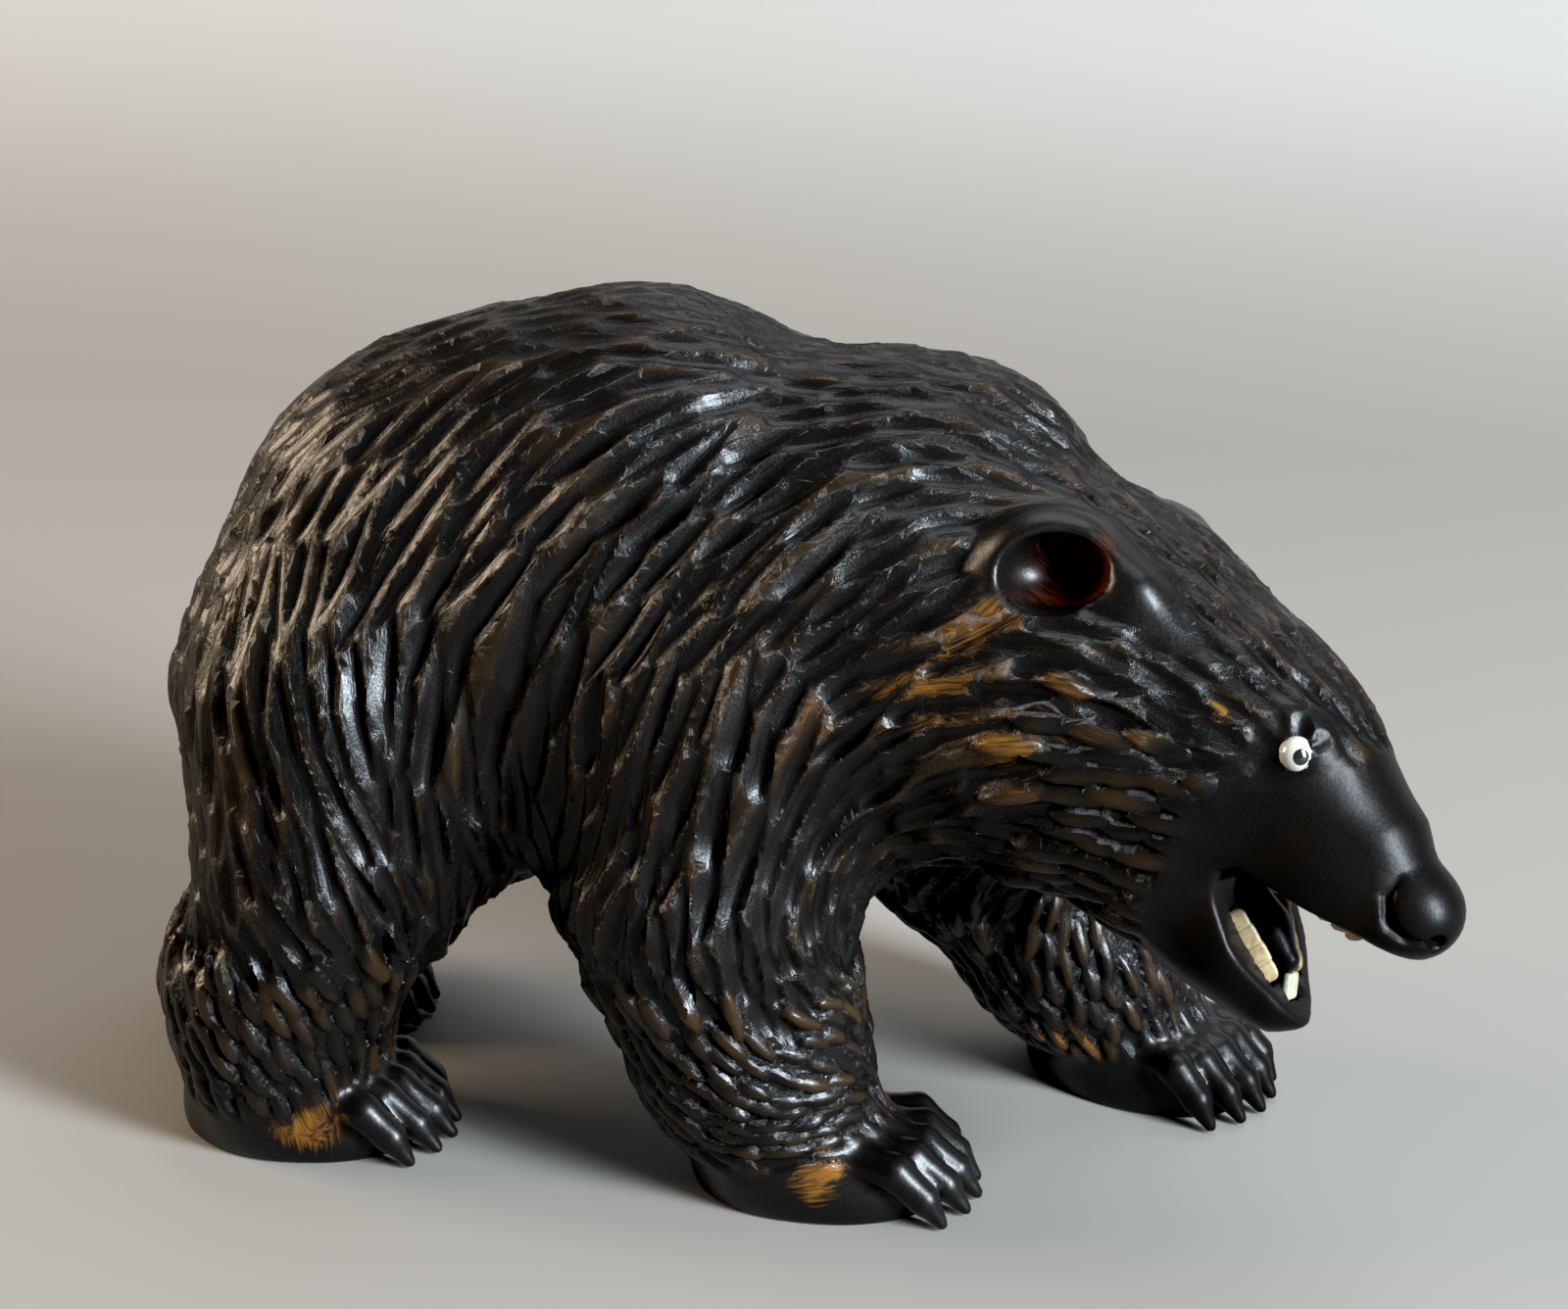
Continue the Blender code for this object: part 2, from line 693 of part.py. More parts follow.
def strip_outline(length, show, root, pitch, grow=0.0):
    """A strip of teeth from the side: a straight root below 0 and a row of points above it. A seat's outline
    has no points: it is the root, grown by the clearance."""
    if grow:
        return [(-grow, -root - grow), (length + grow, -root - grow), (length + grow, show), (-grow, show)]
    outline = [(length, -root), (0, -root)]
    count = max(2, round(length / pitch))
    step = length / count
    for tooth in range(count):
        outline += [(tooth * step, 0.8 * show), ((tooth + 0.25) * step, show), ((tooth + 0.8) * step, show)]
    return outline + [(length, 0.8 * show)]


def strip_frame(start, end, up):
    """A strip's start, its length, and its axes: along, up in the wood's direction, and through."""
    along = end - start
    length = np.linalg.norm(along)
    along = along / length
    up = up - along * (up @ along)
    up = up / np.linalg.norm(up)
    return start, length, [along, up, np.cross(along, up)]


def upper_strip_frame(side):
    (near, near_out), (far, far_out) = UPPER_STRIP
    return strip_frame(on_head(near, side * near_out, LIP_LEVEL), on_head(far, side * far_out, LIP_LEVEL),
                       -HEAD[2])


def lower_strip_frame(side):
    (near, near_out, near_up), (far, far_out, far_up) = LOWER_STRIP
    return strip_frame(on_head(near, side * near_out, near_up), on_head(far, side * far_out, far_up), HEAD[2])


def front_tooth_frame():
    half = FRONT_TOOTH_WIDTH / UNIT / 2
    forward, up = FRONT_TOOTH
    return strip_frame(on_head(forward, -half, up), on_head(forward, half, up), HEAD[2] - 0.4 * HEAD[0])


def add_strip(name, frame, show, home, bone):
    start, length, axes = frame
    outline = strip_outline(length, show / UNIT, TOOTH_ROOT / UNIT, TOOTH_PITCH / UNIT)
    mesh = slab(outline, TOOTH_THICKNESS / UNIT, start, axes)
    return new_object(name, mesh, home, bone)


def strip_seat(name, frame, home):
    start, length, axes = frame
    clearance = SEAT_CLEARANCE / UNIT
    outline = strip_outline(length, SEAT_MOUTH, TOOTH_ROOT / UNIT, TOOTH_PITCH / UNIT, clearance)
    mesh = slab(outline, TOOTH_THICKNESS / UNIT + 2 * clearance, start, axes)
    return new_cutter(name, mesh, home)


def centre_on_floor(bear, things):
    """Moves everything so that the bear's box is centred over the origin and its soles are on the floor."""
    points = read_points(bear.data)
    middle = (points.min(axis=0) + points.max(axis=0)) / 2
    for thing in things:
        moved = read_points(thing.data) - (middle[0], middle[1], 0.0)
        write_points(thing.data, moved)


def build():
    clear_scene()
    parts = collection("carved_bear")
    cutters = collection("cutters")
    wood = material("stained_wood", (0.030, 0.021, 0.016), 0.42)
    glass = material("milk_glass", (0.80, 0.79, 0.75), 0.12)
    bone = material("bone", (0.66, 0.55, 0.34), 0.45)
    pale = material("pale_bone", (0.62, 0.62, 0.46), 0.40)

    bear = rough_block(parts)
    carve_fur(bear)
    one_skin(bear)
    for cutter in [mouth_cutter(cutters), floor_cutter(cutters)] + hollow_cutters(cutters):
        cut(bear, cutter)

    things = [bear]
    seats = []
    for name, side in (("right", -1), ("left", 1)):
        upper, lower = upper_strip_frame(side), lower_strip_frame(side)
        things.append(add_eye(f"eye_{name}", side, parts, glass))
        things.append(add_strip(f"upper_teeth_{name}", upper, UPPER_TEETH_SHOW, parts, bone))
        things.append(add_strip(f"lower_teeth_{name}", lower, LOWER_TEETH_SHOW, parts, bone))
        seats.append(eye_seat(side, cutters))
        seats.append(strip_seat(f"upper_seat_{name}", upper, cutters))
        seats.append(strip_seat(f"lower_seat_{name}", lower, cutters))
    things.append(add_strip("lower_front_teeth", front_tooth_frame(), LOWER_TEETH_SHOW, parts, pale))
    seats.append(strip_seat("front_seat", front_tooth_frame(), cutters))
    for seat in seats:
        cut(bear, seat)
    thin_out(bear, BEAR_TRIANGLES, seats)
    bear.data.materials.clear()
    bear.data.materials.append(wood)
    centre_on_floor(bear, things)


build()
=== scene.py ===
# %% [markdown]
# # A carved wooden bear
#
# The real object is one block of wood, carved with a gouge, stained nearly black and waxed. Two glass beads
# are let in for eyes, and strips of bone for teeth. The solids of the bear come from the frame, already at
# their true size and in their true places. Here the block is carved again with every stroke of the gouge, and
# each material gets its finish.

# %% Load the frame
import math

import bpy
import numpy as np
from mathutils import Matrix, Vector


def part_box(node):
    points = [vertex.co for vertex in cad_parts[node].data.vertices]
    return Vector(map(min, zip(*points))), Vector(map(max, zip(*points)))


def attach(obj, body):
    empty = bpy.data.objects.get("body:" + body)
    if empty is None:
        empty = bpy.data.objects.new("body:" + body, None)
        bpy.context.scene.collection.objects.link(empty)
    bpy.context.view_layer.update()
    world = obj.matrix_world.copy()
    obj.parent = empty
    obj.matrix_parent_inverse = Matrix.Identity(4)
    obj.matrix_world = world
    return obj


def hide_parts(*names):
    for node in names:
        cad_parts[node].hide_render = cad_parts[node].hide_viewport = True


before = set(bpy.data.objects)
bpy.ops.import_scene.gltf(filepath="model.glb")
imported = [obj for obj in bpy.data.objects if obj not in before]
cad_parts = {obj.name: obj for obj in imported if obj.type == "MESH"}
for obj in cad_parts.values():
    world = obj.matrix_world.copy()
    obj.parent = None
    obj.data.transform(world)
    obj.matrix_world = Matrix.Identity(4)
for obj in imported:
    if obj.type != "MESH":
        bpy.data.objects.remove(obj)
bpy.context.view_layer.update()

print("nodes:", sorted(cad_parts))

# %% [markdown]
# ## The carver's measure
#
# The bear is set out in units, 107.5 of them from rump to nose, because round numbers are easier to carve by
# than millimetres. The head is turned, dipped and rolled, so it has axes of its own: forward along the
# muzzle, left, and up through the crown. A feature of the head is placed in those axes and carried over.

# %% Units and the head's axes
BODY_LENGTH = 0.170
UNITS_LONG = 107.5
UNIT = BODY_LENGTH / UNITS_LONG
MILLIMETRE = 0.001 / UNIT
HEAD_CENTRE = np.array([35.0, -8.5, 41.0])
HEAD_TURN, HEAD_DIP, HEAD_ROLL = -27.0, -22.0, 15.0


def head_axes():
    """Forward, left and up of the head as rows: turned about the vertical, dipped, then rolled."""
    turn, dip, roll = (math.radians(angle) for angle in (HEAD_TURN, HEAD_DIP, HEAD_ROLL))
    forward = np.array([math.cos(dip) * math.cos(turn), math.cos(dip) * math.sin(turn), math.sin(dip)])
    left = np.array([-math.sin(turn), math.cos(turn), 0.0])
    up = np.cross(forward, left)
    return np.array([forward, left * math.cos(roll) - up * math.sin(roll),
                     left * math.sin(roll) + up * math.cos(roll)])


HEAD = head_axes()


def unit(vector):
    """A vector's direction, with a length of 1."""
    return vector / np.linalg.norm(vector)


def on_head(forward, left, up):
    """A place in the head's axes, as a place on the bear."""
    return HEAD_CENTRE + np.array([forward, left, up]) @ HEAD


def in_head(points):
    """Forward, left and up of points, in the head's axes."""
    return ((points - HEAD_CENTRE) @ HEAD.T).T


print("the muzzle points along", HEAD[0].round(2))

# %% [markdown]
# ## Masses
#
# A carver first sees the bear as a few large masses, then smaller ones on them. Each mass here is an
# ellipsoid, a tapered bar or a block, and what is kept of it is a formula for how far any point lies outside
# it. Modelling with such distances, instead of with a cage of faces, lets masses melt into each other with a
# fillet of any width, as wood does under a rasp.

# %% Three kinds of mass


def ball(centre, radii, axes=None):
    """An ellipsoid: its centre, its radii, and the directions that they lie along."""
    return {"kind": "ball", "centre": np.array(centre, float), "sizes": np.array(radii, float),
            "axes": np.eye(3) if axes is None else np.array(axes, float)}


def block(centre, halves, axes):
    """A box: its centre, half of each side, and the directions of the sides."""
    return {**ball(centre, halves, axes), "kind": "block"}


def head_ball(centre, radii):
    return ball(on_head(*centre), radii, HEAD)


def limb(joints, radii):
    """A chain of tapered bars, each round, with its own radius at each end."""
    joints = [np.array(joint, float) for joint in joints]
    return [{"kind": "bar", "start": start, "end": end, "radii": (first, last)}
            for start, end, first, last in zip(joints, joints[1:], radii, radii[1:])]


def head_limb(joints, radii):
    return limb([on_head(*joint) for joint in joints], radii)


def distance(mass, points):
    """How far points lie outside one mass. For an ellipsoid it is |p/r| (|p/r| - 1) / |p/r^2|, which is exact
    at the surface. For a bar it is the distance to its axis less the radius there, and for a box the distance
    to its nearest corner, edge or face."""
    if mass["kind"] == "bar":
        along = mass["end"] - mass["start"]
        share = np.clip((points - mass["start"]) @ along / (along @ along), 0, 1)
        near = mass["start"] + share[:, None] * along
        first, last = mass["radii"]
        return np.linalg.norm(points - near, axis=1) - (first * (1 - share) + last * share)
    local = (points - mass["centre"]) @ mass["axes"].T
    if mass["kind"] == "block":
        over = np.abs(local) - mass["sizes"]
        return np.linalg.norm(np.maximum(over, 0), axis=1) + np.minimum(over.max(axis=1), 0)
    scaled = np.linalg.norm(local / mass["sizes"], axis=1)
    slope = np.linalg.norm(local / mass["sizes"] ** 2, axis=1)
    return scaled * (scaled - 1) / np.maximum(slope, 1e-9)


def soft_union(first, second, fillet):
    """The nearer of two surfaces, with a fillet of that reach where they meet."""
    share = np.clip(0.5 + 0.5 * (second - first) / fillet, 0, 1)
    return second * (1 - share) + first * share - fillet * share * (1 - share)


def joined(masses, points, fillet):
    """How far points lie outside all of the masses, joined one after the other."""
    whole = distance(masses[0], points)
    for mass in masses[1:]:
        whole = soft_union(whole, distance(mass, points), fillet)
    return whole


# %% [markdown]
# ## The bear's masses
#
# The body is a big rump, a barrel, a chest and a hump, with thighs and upper arms swelling from them. The
# head is one long wedge: skull, brow, bridge and a round nose pad, with a thin jaw hanging open below. Each
# foot is a pad with five long toes that arch over and run down into claws.

# %% Body and legs
LEGS = {
    "hind_right": {"joints": [(-26, -9, 36), (-28, -10.5, 24.5), (-33.4, -10.6, 13), (-33.6, -10.4, 6)],
                   "radii": [11.0, 9.9, 8.5, 8.1], "foot": (-31.6, -10.4), "heading": 0.0, "reach": 1.0},
    "hind_left": {"joints": [(-29, 8, 36), (-32, 10.5, 24), (-39, 10.5, 13), (-39.5, 10, 6)],
                  "radii": [11.0, 10.5, 8.2, 7.6], "foot": (-38.5, 10.0), "heading": 0.0, "reach": 0.88},
    "fore_right": {"joints": [(3, -9, 38), (1.5, -10.7, 25), (4.5, -11, 13), (7.5, -11, 6)],
                   "radii": [11.0, 10.8, 8.6, 7.8], "foot": (11.0, -11.0), "heading": 0.0, "reach": 1.0},
    "fore_left": {"joints": [(12, 8, 38), (19, 10, 24), (27.3, 11.8, 12), (31.4, 11.9, 6)],
                  "radii": [10.0, 9.6, 8.2, 6.6], "foot": (33.2, 11.8), "heading": -24.0, "reach": 0.94},
}
FOOT_RADII = (10.0, 6.6, 6.2)
TOE_COUNT = 5


def torso():
    """Rump, seat, barrel, chest and hump, then the thighs and upper arms."""
    return [
        ball((-16.0, 0, 43.5), (23.2, 17.0, 21.8)),
        ball((-28.5, 0, 34), (16.0, 13.5, 15.0)),
        ball((-5.0, 0, 46.0), (20.0, 16.5, 22.3)),
        ball((10.5, 0, 43.0), (14.5, 15.5, 19.0)),
        ball((16.0, -0.5, 55.8), (12.5, 9.0, 8.8)),
        ball((-25, -8.5, 34), (13.5, 9.0, 15.0)),
        ball((-27, 8.5, 34), (13.5, 9.0, 15.0)),
        ball((4, -9.5, 38), (10.5, 9.0, 16.0)),
        ball((12, 9.0, 38), (10.5, 8.5, 16.0)),
    ]


def neck_and_skull():
    neck = limb([(13.0, -1.0, 43.0), (27.0, -5.0, 41.5)], [17.0, 14.6])
    return neck + [
        head_ball((-5.0, 0, 1.0), (14.5, 10.8, 10.6)),
        head_ball((6.6, 0, 1.5), (11.8, 8.6, 9.3)),
        head_ball((2.0, 0, -5.5), (12.0, 9.4, 9.0)),
    ]

# %% Feet and toes


def foot_frame(leg):
    """The foot's middle on the floor, its forward step and its sideways step."""
    turn = math.radians(leg["heading"])
    ahead = np.array([math.cos(turn), math.sin(turn), 0.0])
    aside = np.array([-math.sin(turn), math.cos(turn), 0.0])
    return np.array([*leg["foot"], 0.0]), ahead, aside


def toes(leg):
    """Toes fan out across the foot, arch over and run down into claws."""
    middle, ahead, aside = foot_frame(leg)
    ahead = ahead * leg["reach"]
    found = []
    for place in np.linspace(-1, 1, TOE_COUNT):
        out = aside * 4.9 * place
        length = 1.0 - 0.16 * place * place
        knuckle = middle + out * 0.75 + ahead * 2.5 + (0, 0, 4.7)
        bend = middle + out + ahead * 7.5 * length + (0, 0, 4.5)
        claw = middle + out * 1.04 + ahead * 10.2 * length + (0, 0, 2.6)
        tip = middle + out * 1.05 + ahead * 11.9 * length + (0, 0, 0.7)
        found += limb([knuckle, bend, claw, tip], [1.5, 1.5, 1.25, 0.5])
    return found


def pad(leg):
    middle, ahead, aside = foot_frame(leg)
    return ball(middle + (0, 0, 1.6) - 0.5 * ahead, FOOT_RADII, [ahead, aside, (0, 0, 1)])


# %% Head


def muzzle():
    """The bridge, the lips that hang at its sides, and the nose pad."""
    found = head_limb([(8.0, 0, -0.5), (16.0, 0, 0.6), (19.0, 0, 0.5), (21.5, 0, -0.6), (23.0, 0, -0.8)],
                      [8.0, 5.2, 4.4, 3.1, 2.8])
    for side in (-1, 1):
        found += head_limb([(10.5, side * 3.2, -2.6), (17, side * 2.4, -2.2), (22.5, side * 1.6, -1.8)],
                           [4.6, 3.6, 2.4])
    return found + [head_ball((24.5, 0, -0.5), (2.9, 3.2, 3.0))]


def nose_wings():
    """A thin rim behind each side of the nose pad, which runs down and curls forward under it."""
    found = []
    for side in (-1, 1):
        found += head_limb([(21.2, side * 2.2, 0.9), (21.8, side * 3.0, -0.4), (23.0, side * 3.2, -1.8),
                            (24.8, side * 2.4, -2.2)], [0.3, 0.6, 0.65, 0.4])
    return found


def lower_jaw():
    found = head_limb([(6.0, 0, -8.5), (13.5, 0, -9.3), (17.4, 0, -11.2), (19.6, 0, -12.0), (20.8, 0, -11.9)],
                      [6.6, 5.6, 3.2, 1.7, 0.45])
    for side in (-1, 1):
        found += head_limb([(9.0, side * 3.4, -8.4), (14.5, side * 2.7, -9.5), (18.0, side * 1.0, -11.2)],
                           [4.6, 3.6, 2.4])
    return found


def brows():
    return [head_ball((11.0, side * 4.4, 6.2), (3.3, 2.1, 2.0)) for side in (-1, 1)]

# %% Ears
# Where an ear sits in the head's axes, and how many degrees its opening's long side lifts from forward
EAR_PLACE = (-9.4, 9.0, 7.0)
EAR_LIFT = 36.0


def ear_axes(side):
    """An ear's own axes: along its opening, across it, and out of it, forward and to the side."""
    out = unit(np.array([0.42, 0.85 * side, 0.30]) @ HEAD)
    lift = math.radians(EAR_LIFT)
    along = HEAD[0] * math.cos(lift) + HEAD[2] * math.sin(lift)
    along = unit(along - out * (along @ out))
    return np.array([along, np.cross(out, along), out])


def ear_middle(side):
    forward, aside, up = EAR_PLACE
    return on_head(forward, side * aside, up)


def ears():
    """A round pad for each ear, and the ridge that runs forward from its top."""
    found = []
    for side in (-1, 1):
        found += [ball(ear_middle(side), (5.2, 4.3, 3.2), ear_axes(side))]
        found += head_limb([(-8, side * 8.2, 9.4), (-3, side * 7.9, 8.7), (2, side * 6.9, 6.9)],
                           [2.0, 1.7, 0.9])
    return found


# %% [markdown]
# ## The blended form
#
# The masses are joined in groups, with wide fillets on the body, narrow ones on the head and the narrowest
# between the toes. A group is only worked out for points that are near it, which saves most of the time.

# %% Groups
# How near to a group a point counts, in units
NEARBY = 6.0


def reach_of(masses):
    """The middle and the radius of a ball that holds these masses."""
    ends = []
    sizes = []
    for mass in masses:
        if mass["kind"] == "bar":
            ends += [mass["start"], mass["end"]]
            sizes += list(mass["radii"])
        else:
            ends.append(mass["centre"])
            sizes.append(np.linalg.norm(mass["sizes"]) if mass["kind"] == "block" else mass["sizes"].max())
    ends = np.array(ends)
    middle = (ends.min(axis=0) + ends.max(axis=0)) / 2
    return middle, (np.linalg.norm(ends - middle, axis=1) + sizes).max()


def group(masses, fillet, joint):
    """Masses that are joined with one fillet, and the fillet that joins them to the rest."""
    middle, radius = reach_of(masses)
    return {"masses": masses, "fillet": fillet, "joint": joint, "middle": middle, "radius": radius}


def wood_groups():
    found = [group(torso() + neck_and_skull(), 5.0, 0.0), group(muzzle(), 2.0, 3.0),
             group(nose_wings(), 0.5, 0.5), group(lower_jaw(), 2.0, 2.0), group(brows(), 1.0, 1.5)]
    for leg in LEGS.values():
        found.append(group(limb(leg["joints"], leg["radii"]), 4.0, 5.0))
        found.append(group([pad(leg)] + toes(leg), 0.35, 1.5))
    return found + [group(ears(), 0.8, 1.2)]


WOOD = wood_groups()
print("masses:", sum(len(some["masses"]) for some in WOOD), "in", len(WOOD), "groups")

# %% The whole form


def near_group(some, points):
    """Which points are within reach of a group."""
    return np.flatnonzero(((points - some["middle"]) ** 2).sum(axis=1) < (some["radius"] + NEARBY) ** 2)


def with_group(whole, some, points):
    """Joins a group to what is there, for the points near it."""
    near = near_group(some, points)
    added = joined(some["masses"], points[near], some["fillet"])
    whole[near] = soft_union(whole[near], added, some["joint"])
    return whole


def form(points):
    """How far points lie outside the bear before any hollow is cut."""
    whole = joined(WOOD[0]["masses"], points, WOOD[0]["fillet"])
    for some in WOOD[1:]:
        whole = with_group(whole, some, points)
    return whole


def gradient(field, points, step=0.05):
    """The field's value at points, and how it changes along each axis there."""
    here = field(points)
    ahead = [field(points + axis * step) for axis in np.eye(3)]
    return here, (np.stack(ahead, axis=1) - here[:, None]) / step


def settle(field, points, rounds=2):
    """Moves points onto a field's surface, and gives the outward directions there."""
    for _ in range(rounds):
        here, slope = gradient(field, points)
        steep = np.maximum((slope * slope).sum(axis=1), 0.2)
        points = points - slope * np.clip(here / steep, -1.5, 1.5)[:, None]
    _, slope = gradient(field, points)
    return points, slope / np.maximum(np.linalg.norm(slope, axis=1), 1e-9)[:, None]


# %% [markdown]
# ## Hollows
#
# The mouth, the cups of the ears, the nostrils, the crease behind the nose pad, short cuts round the eyes and
# the seats of beads and bone are taken out of the form. Taking away is the union turned inside out, so it
# gets a soft edge in the same way. The open mouth is a flat outline seen from the side, cut right through.
# Low lids are joined on round the beads, and the tongue is put back into the mouth.

# %% Where the beads and the strips of bone sit
EYE_DIAMETER = 0.0041
EYE_SINK = 0.18
EYE_PLACE = (12.6, 6.4, 5.6)
TOOTH_THICKNESS = 0.0013
TOOTH_ROOT = 0.0020
FRONT_TOOTH_WIDTH = 0.0030
UPPER_TEETH_SHOW = 0.0011
LOWER_TEETH_SHOW = 0.0011
SEAT_CLEARANCE = 0.0003
# In units: how far a slot's cut reaches out of the wood, how far the wood grips a bead, and a lid's radius
# and depth
SEAT_REACH = 1.2
EYE_HOLD = 0.12
LID_RADIUS = 1.9
LID_SINK = 1.25
LIP_LEVEL = -3.5
UPPER_STRIP = ((14.2, 4.6), (22.6, 2.7))
LOWER_STRIP = ((13.9, 4.2, -7.3), (18.6, 2.0, -10.4))
FRONT_TOOTH = (19.1, -10.6)


def eye_spot(side):
    """Where a bead meets the wood, and the way out of the wood there."""
    forward, aside, up = EYE_PLACE
    surface, normal = settle(form, on_head(forward, side * aside, up)[None], rounds=3)
    return surface[0], normal[0]


def eye_middle(side):
    """A bead's centre: its spot, less what it sinks in."""
    surface, normal = eye_spot(side)
    return surface - normal * EYE_SINK * EYE_DIAMETER / UNIT

# %% The strips' places and slots


def strip_frame(start, end, up):
    """A strip's start, its length, and its axes: along, up out of the wood, and through."""
    along = end - start
    length = np.linalg.norm(along)
    along = along / length
    up = unit(up - along * (up @ along))
    return start, length, np.array([along, up, np.cross(along, up)])


def upper_frame(side):
    (near, near_out), (far, far_out) = UPPER_STRIP
    return strip_frame(on_head(near, side * near_out, LIP_LEVEL), on_head(far, side * far_out, LIP_LEVEL),
                       -HEAD[2])


def lower_frame(side):
    (near, near_out, near_up), (far, far_out, far_up) = LOWER_STRIP
    return strip_frame(on_head(near, side * near_out, near_up), on_head(far, side * far_out, far_up),
                       HEAD[2])


def front_frame():
    half = FRONT_TOOTH_WIDTH / UNIT / 2
    forward, up = FRONT_TOOTH
    return strip_frame(on_head(forward, -half, up), on_head(forward, half, up), HEAD[2] - 0.4 * HEAD[0])


def seat(strip):
    """The slot that a strip's root stands in, a clearance wider than the strip."""
    start, length, axes = strip
    gap = SEAT_CLEARANCE / UNIT
    root = TOOTH_ROOT / UNIT
    halves = (length / 2 + gap, (root + gap + SEAT_REACH) / 2, TOOTH_THICKNESS / UNIT / 2 + gap)
    middle = start + np.array([length / 2, (SEAT_REACH - root - gap) / 2, 0.0]) @ axes
    return block(middle, halves, axes)


# The beads' places shift everything from carving units to the frame
OFFSET = sum(np.array(corner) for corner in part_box("eye_right")) / 2 / UNIT - eye_middle(-1)
print("the frame's origin, in units:", (-OFFSET).round(3))

# %% The cuts
MOUTH_OUTLINE = [(12.6, -4.3), (13.4, -3.5), (34, -3.5), (34, -12.3), (22.0, -12.3), (21.0, -11.8),
                 (19.0, -10.7), (17.3, -9.7), (15.5, -8.5), (13.4, -6.7), (12.6, -5.4)]


def outline_distance(outline, x, y):
    """How far flat points lie outside a closed outline: the distance to its nearest side, negative inside."""
    outline = np.array(outline, float)
    nearest = np.full(len(x), 1e9)
    inside = np.zeros(len(x), bool)
    for (x0, y0), (x1, y1) in zip(outline, np.roll(outline, -1, axis=0)):
        side = np.array([x1 - x0, y1 - y0])
        share = np.clip(((x - x0) * side[0] + (y - y0) * side[1]) / (side @ side), 0, 1)
        nearest = np.minimum(nearest, np.hypot(x - x0 - share * side[0], y - y0 - share * side[1]))
        if y0 != y1:
            inside ^= ((y0 > y) != (y1 > y)) & (x < x0 + (y - y0) * (x1 - x0) / (y1 - y0))
    return np.where(inside, -nearest, nearest)

# %% Small hollows of the head


def ear_cups():
    found = []
    for side in (-1, 1):
        axes = ear_axes(side)
        found.append(ball(ear_middle(side) + np.array([0.1, 0.5 * side, 3.0]) @ axes, (3.9, 2.8, 4.5), axes))
    return found


def nose_creases():
    """A groove between each rim and the nose pad."""
    found = []
    for side in (-1, 1):
        path = [(21.8, 2.2, 1.2), (22.4, 2.8, -0.2), (23.6, 3.0, -1.3), (25.2, 2.6, -1.5), (26.2, 2.0, -1.1)]
        points = np.array([on_head(forward, side * aside, up) for forward, aside, up in path])
        found += limb(settle(form, points)[0], [0.1, 0.4, 0.5, 0.4, 0.2])
    return found


# Cuts round a bead: which way they lie, in degrees up from forward, how far out, and how long they are
FACETS = [(62, 2.5, 1.7), (112, 2.7, 2.3), (150, 2.6, 1.9), (190, 2.9, 2.4), (232, 2.6, 1.9)]
FACET_LIFT = 1.2


def eye_facets():
    """Short shallow cuts that point at the bead from above and behind."""
    found = []
    for side in (-1, 1):
        spot, out = eye_spot(side)
        ahead = unit(HEAD[0] - out * (out @ HEAD[0]))
        above = unit(HEAD[2] - out * (out @ HEAD[2]) - ahead * (ahead @ HEAD[2]))
        for turn, reach, length in FACETS:
            way = ahead * math.cos(math.radians(turn)) + above * math.sin(math.radians(turn))
            place, normal = settle(form, (spot + way * reach)[None])
            found.append(ball(place[0] + normal[0] * FACET_LIFT, (length, 1.35, 1.45),
                              [way, np.cross(out, way), out]))
    return found

# %% The carved bear


def hollow_groups():
    eyes = [ball(eye_middle(side), (EYE_DIAMETER / 2 / UNIT - EYE_HOLD,) * 3) for side in (-1, 1)]
    nostrils = [head_ball((26.6, side * 1.7, -0.9), (1.3, 0.7, 0.6)) for side in (-1, 1)]
    seats = [seat(frame_of(side)) for side in (-1, 1) for frame_of in (upper_frame, lower_frame)]
    throat = [head_ball((14.6, 0, -7.2), (6.2, 3.2, 4.9))]
    return [group(throat, 0.1, 0.3), group(ear_cups(), 0.1, 0.9), group(nostrils, 0.1, 0.25),
            group(nose_creases(), 0.1, 0.3), group(eye_facets(), 0.05, 0.15), group(eyes, 0.1, 0.1),
            group(seats + [seat(front_frame())], 0.05, 0.1)]


HOLLOWS = hollow_groups()
print("hollows:", sum(len(some["masses"]) for some in HOLLOWS))
LIDS = group([ball(eye_spot(side)[0] - LID_SINK * eye_spot(side)[1], (LID_RADIUS,) * 3) for side in (-1, 1)],
             0.1, 0.35)
TONGUE = group(head_limb([(10, 0, -6.5), (15.5, 0, -8.4), (18.0, 0, -9.3)], [2.2, 1.7, 0.9]), 1.0, 0.3)


def soft_cut(whole, hollow, fillet):
    """A union turned inside out: what is outside the hollow stays."""
    return -soft_union(-whole, hollow, fillet)


def bear(points):
    """How far points lie outside the carved bear: its form, less the hollows, with the tongue put back, and
    nothing below the floor."""
    whole = with_group(form(points), LIDS, points)
    forward, _, up = in_head(points)
    mouth = np.flatnonzero((forward > 6) & (points[:, 0] > 30))
    cut = outline_distance(MOUTH_OUTLINE, forward[mouth], up[mouth])
    whole[mouth] = soft_cut(whole[mouth], cut, 0.5)
    for some in HOLLOWS:
        near = near_group(some, points)
        cut = joined(some["masses"], points[near], some["fillet"])
        whole[near] = soft_cut(whole[near], cut, some["joint"])
    whole = with_group(whole, TONGUE, points)
    return soft_cut(whole, points[:, 2], 0.4)


# %% [markdown]
# ## From distances to a skin
#
# A distance field has no faces yet. Space is cut into small cubes, and each cube whose corners lie on both
# sides of the surface gets one vertex, at the mean of the places where its edges cross the surface. Four
# neighbouring cubes round a crossed edge give one face. This is called a surface net. It gives even faces
# all over, closed and without seams, whatever the shape.

# %% Surface net
# A small cube's side, in units, and how many of them a rough cube has along its side
GRAIN = 0.28
ROUGH = 4
CORNERS = np.array([(x, y, z) for x in (0, 1) for y in (0, 1) for z in (0, 1)])


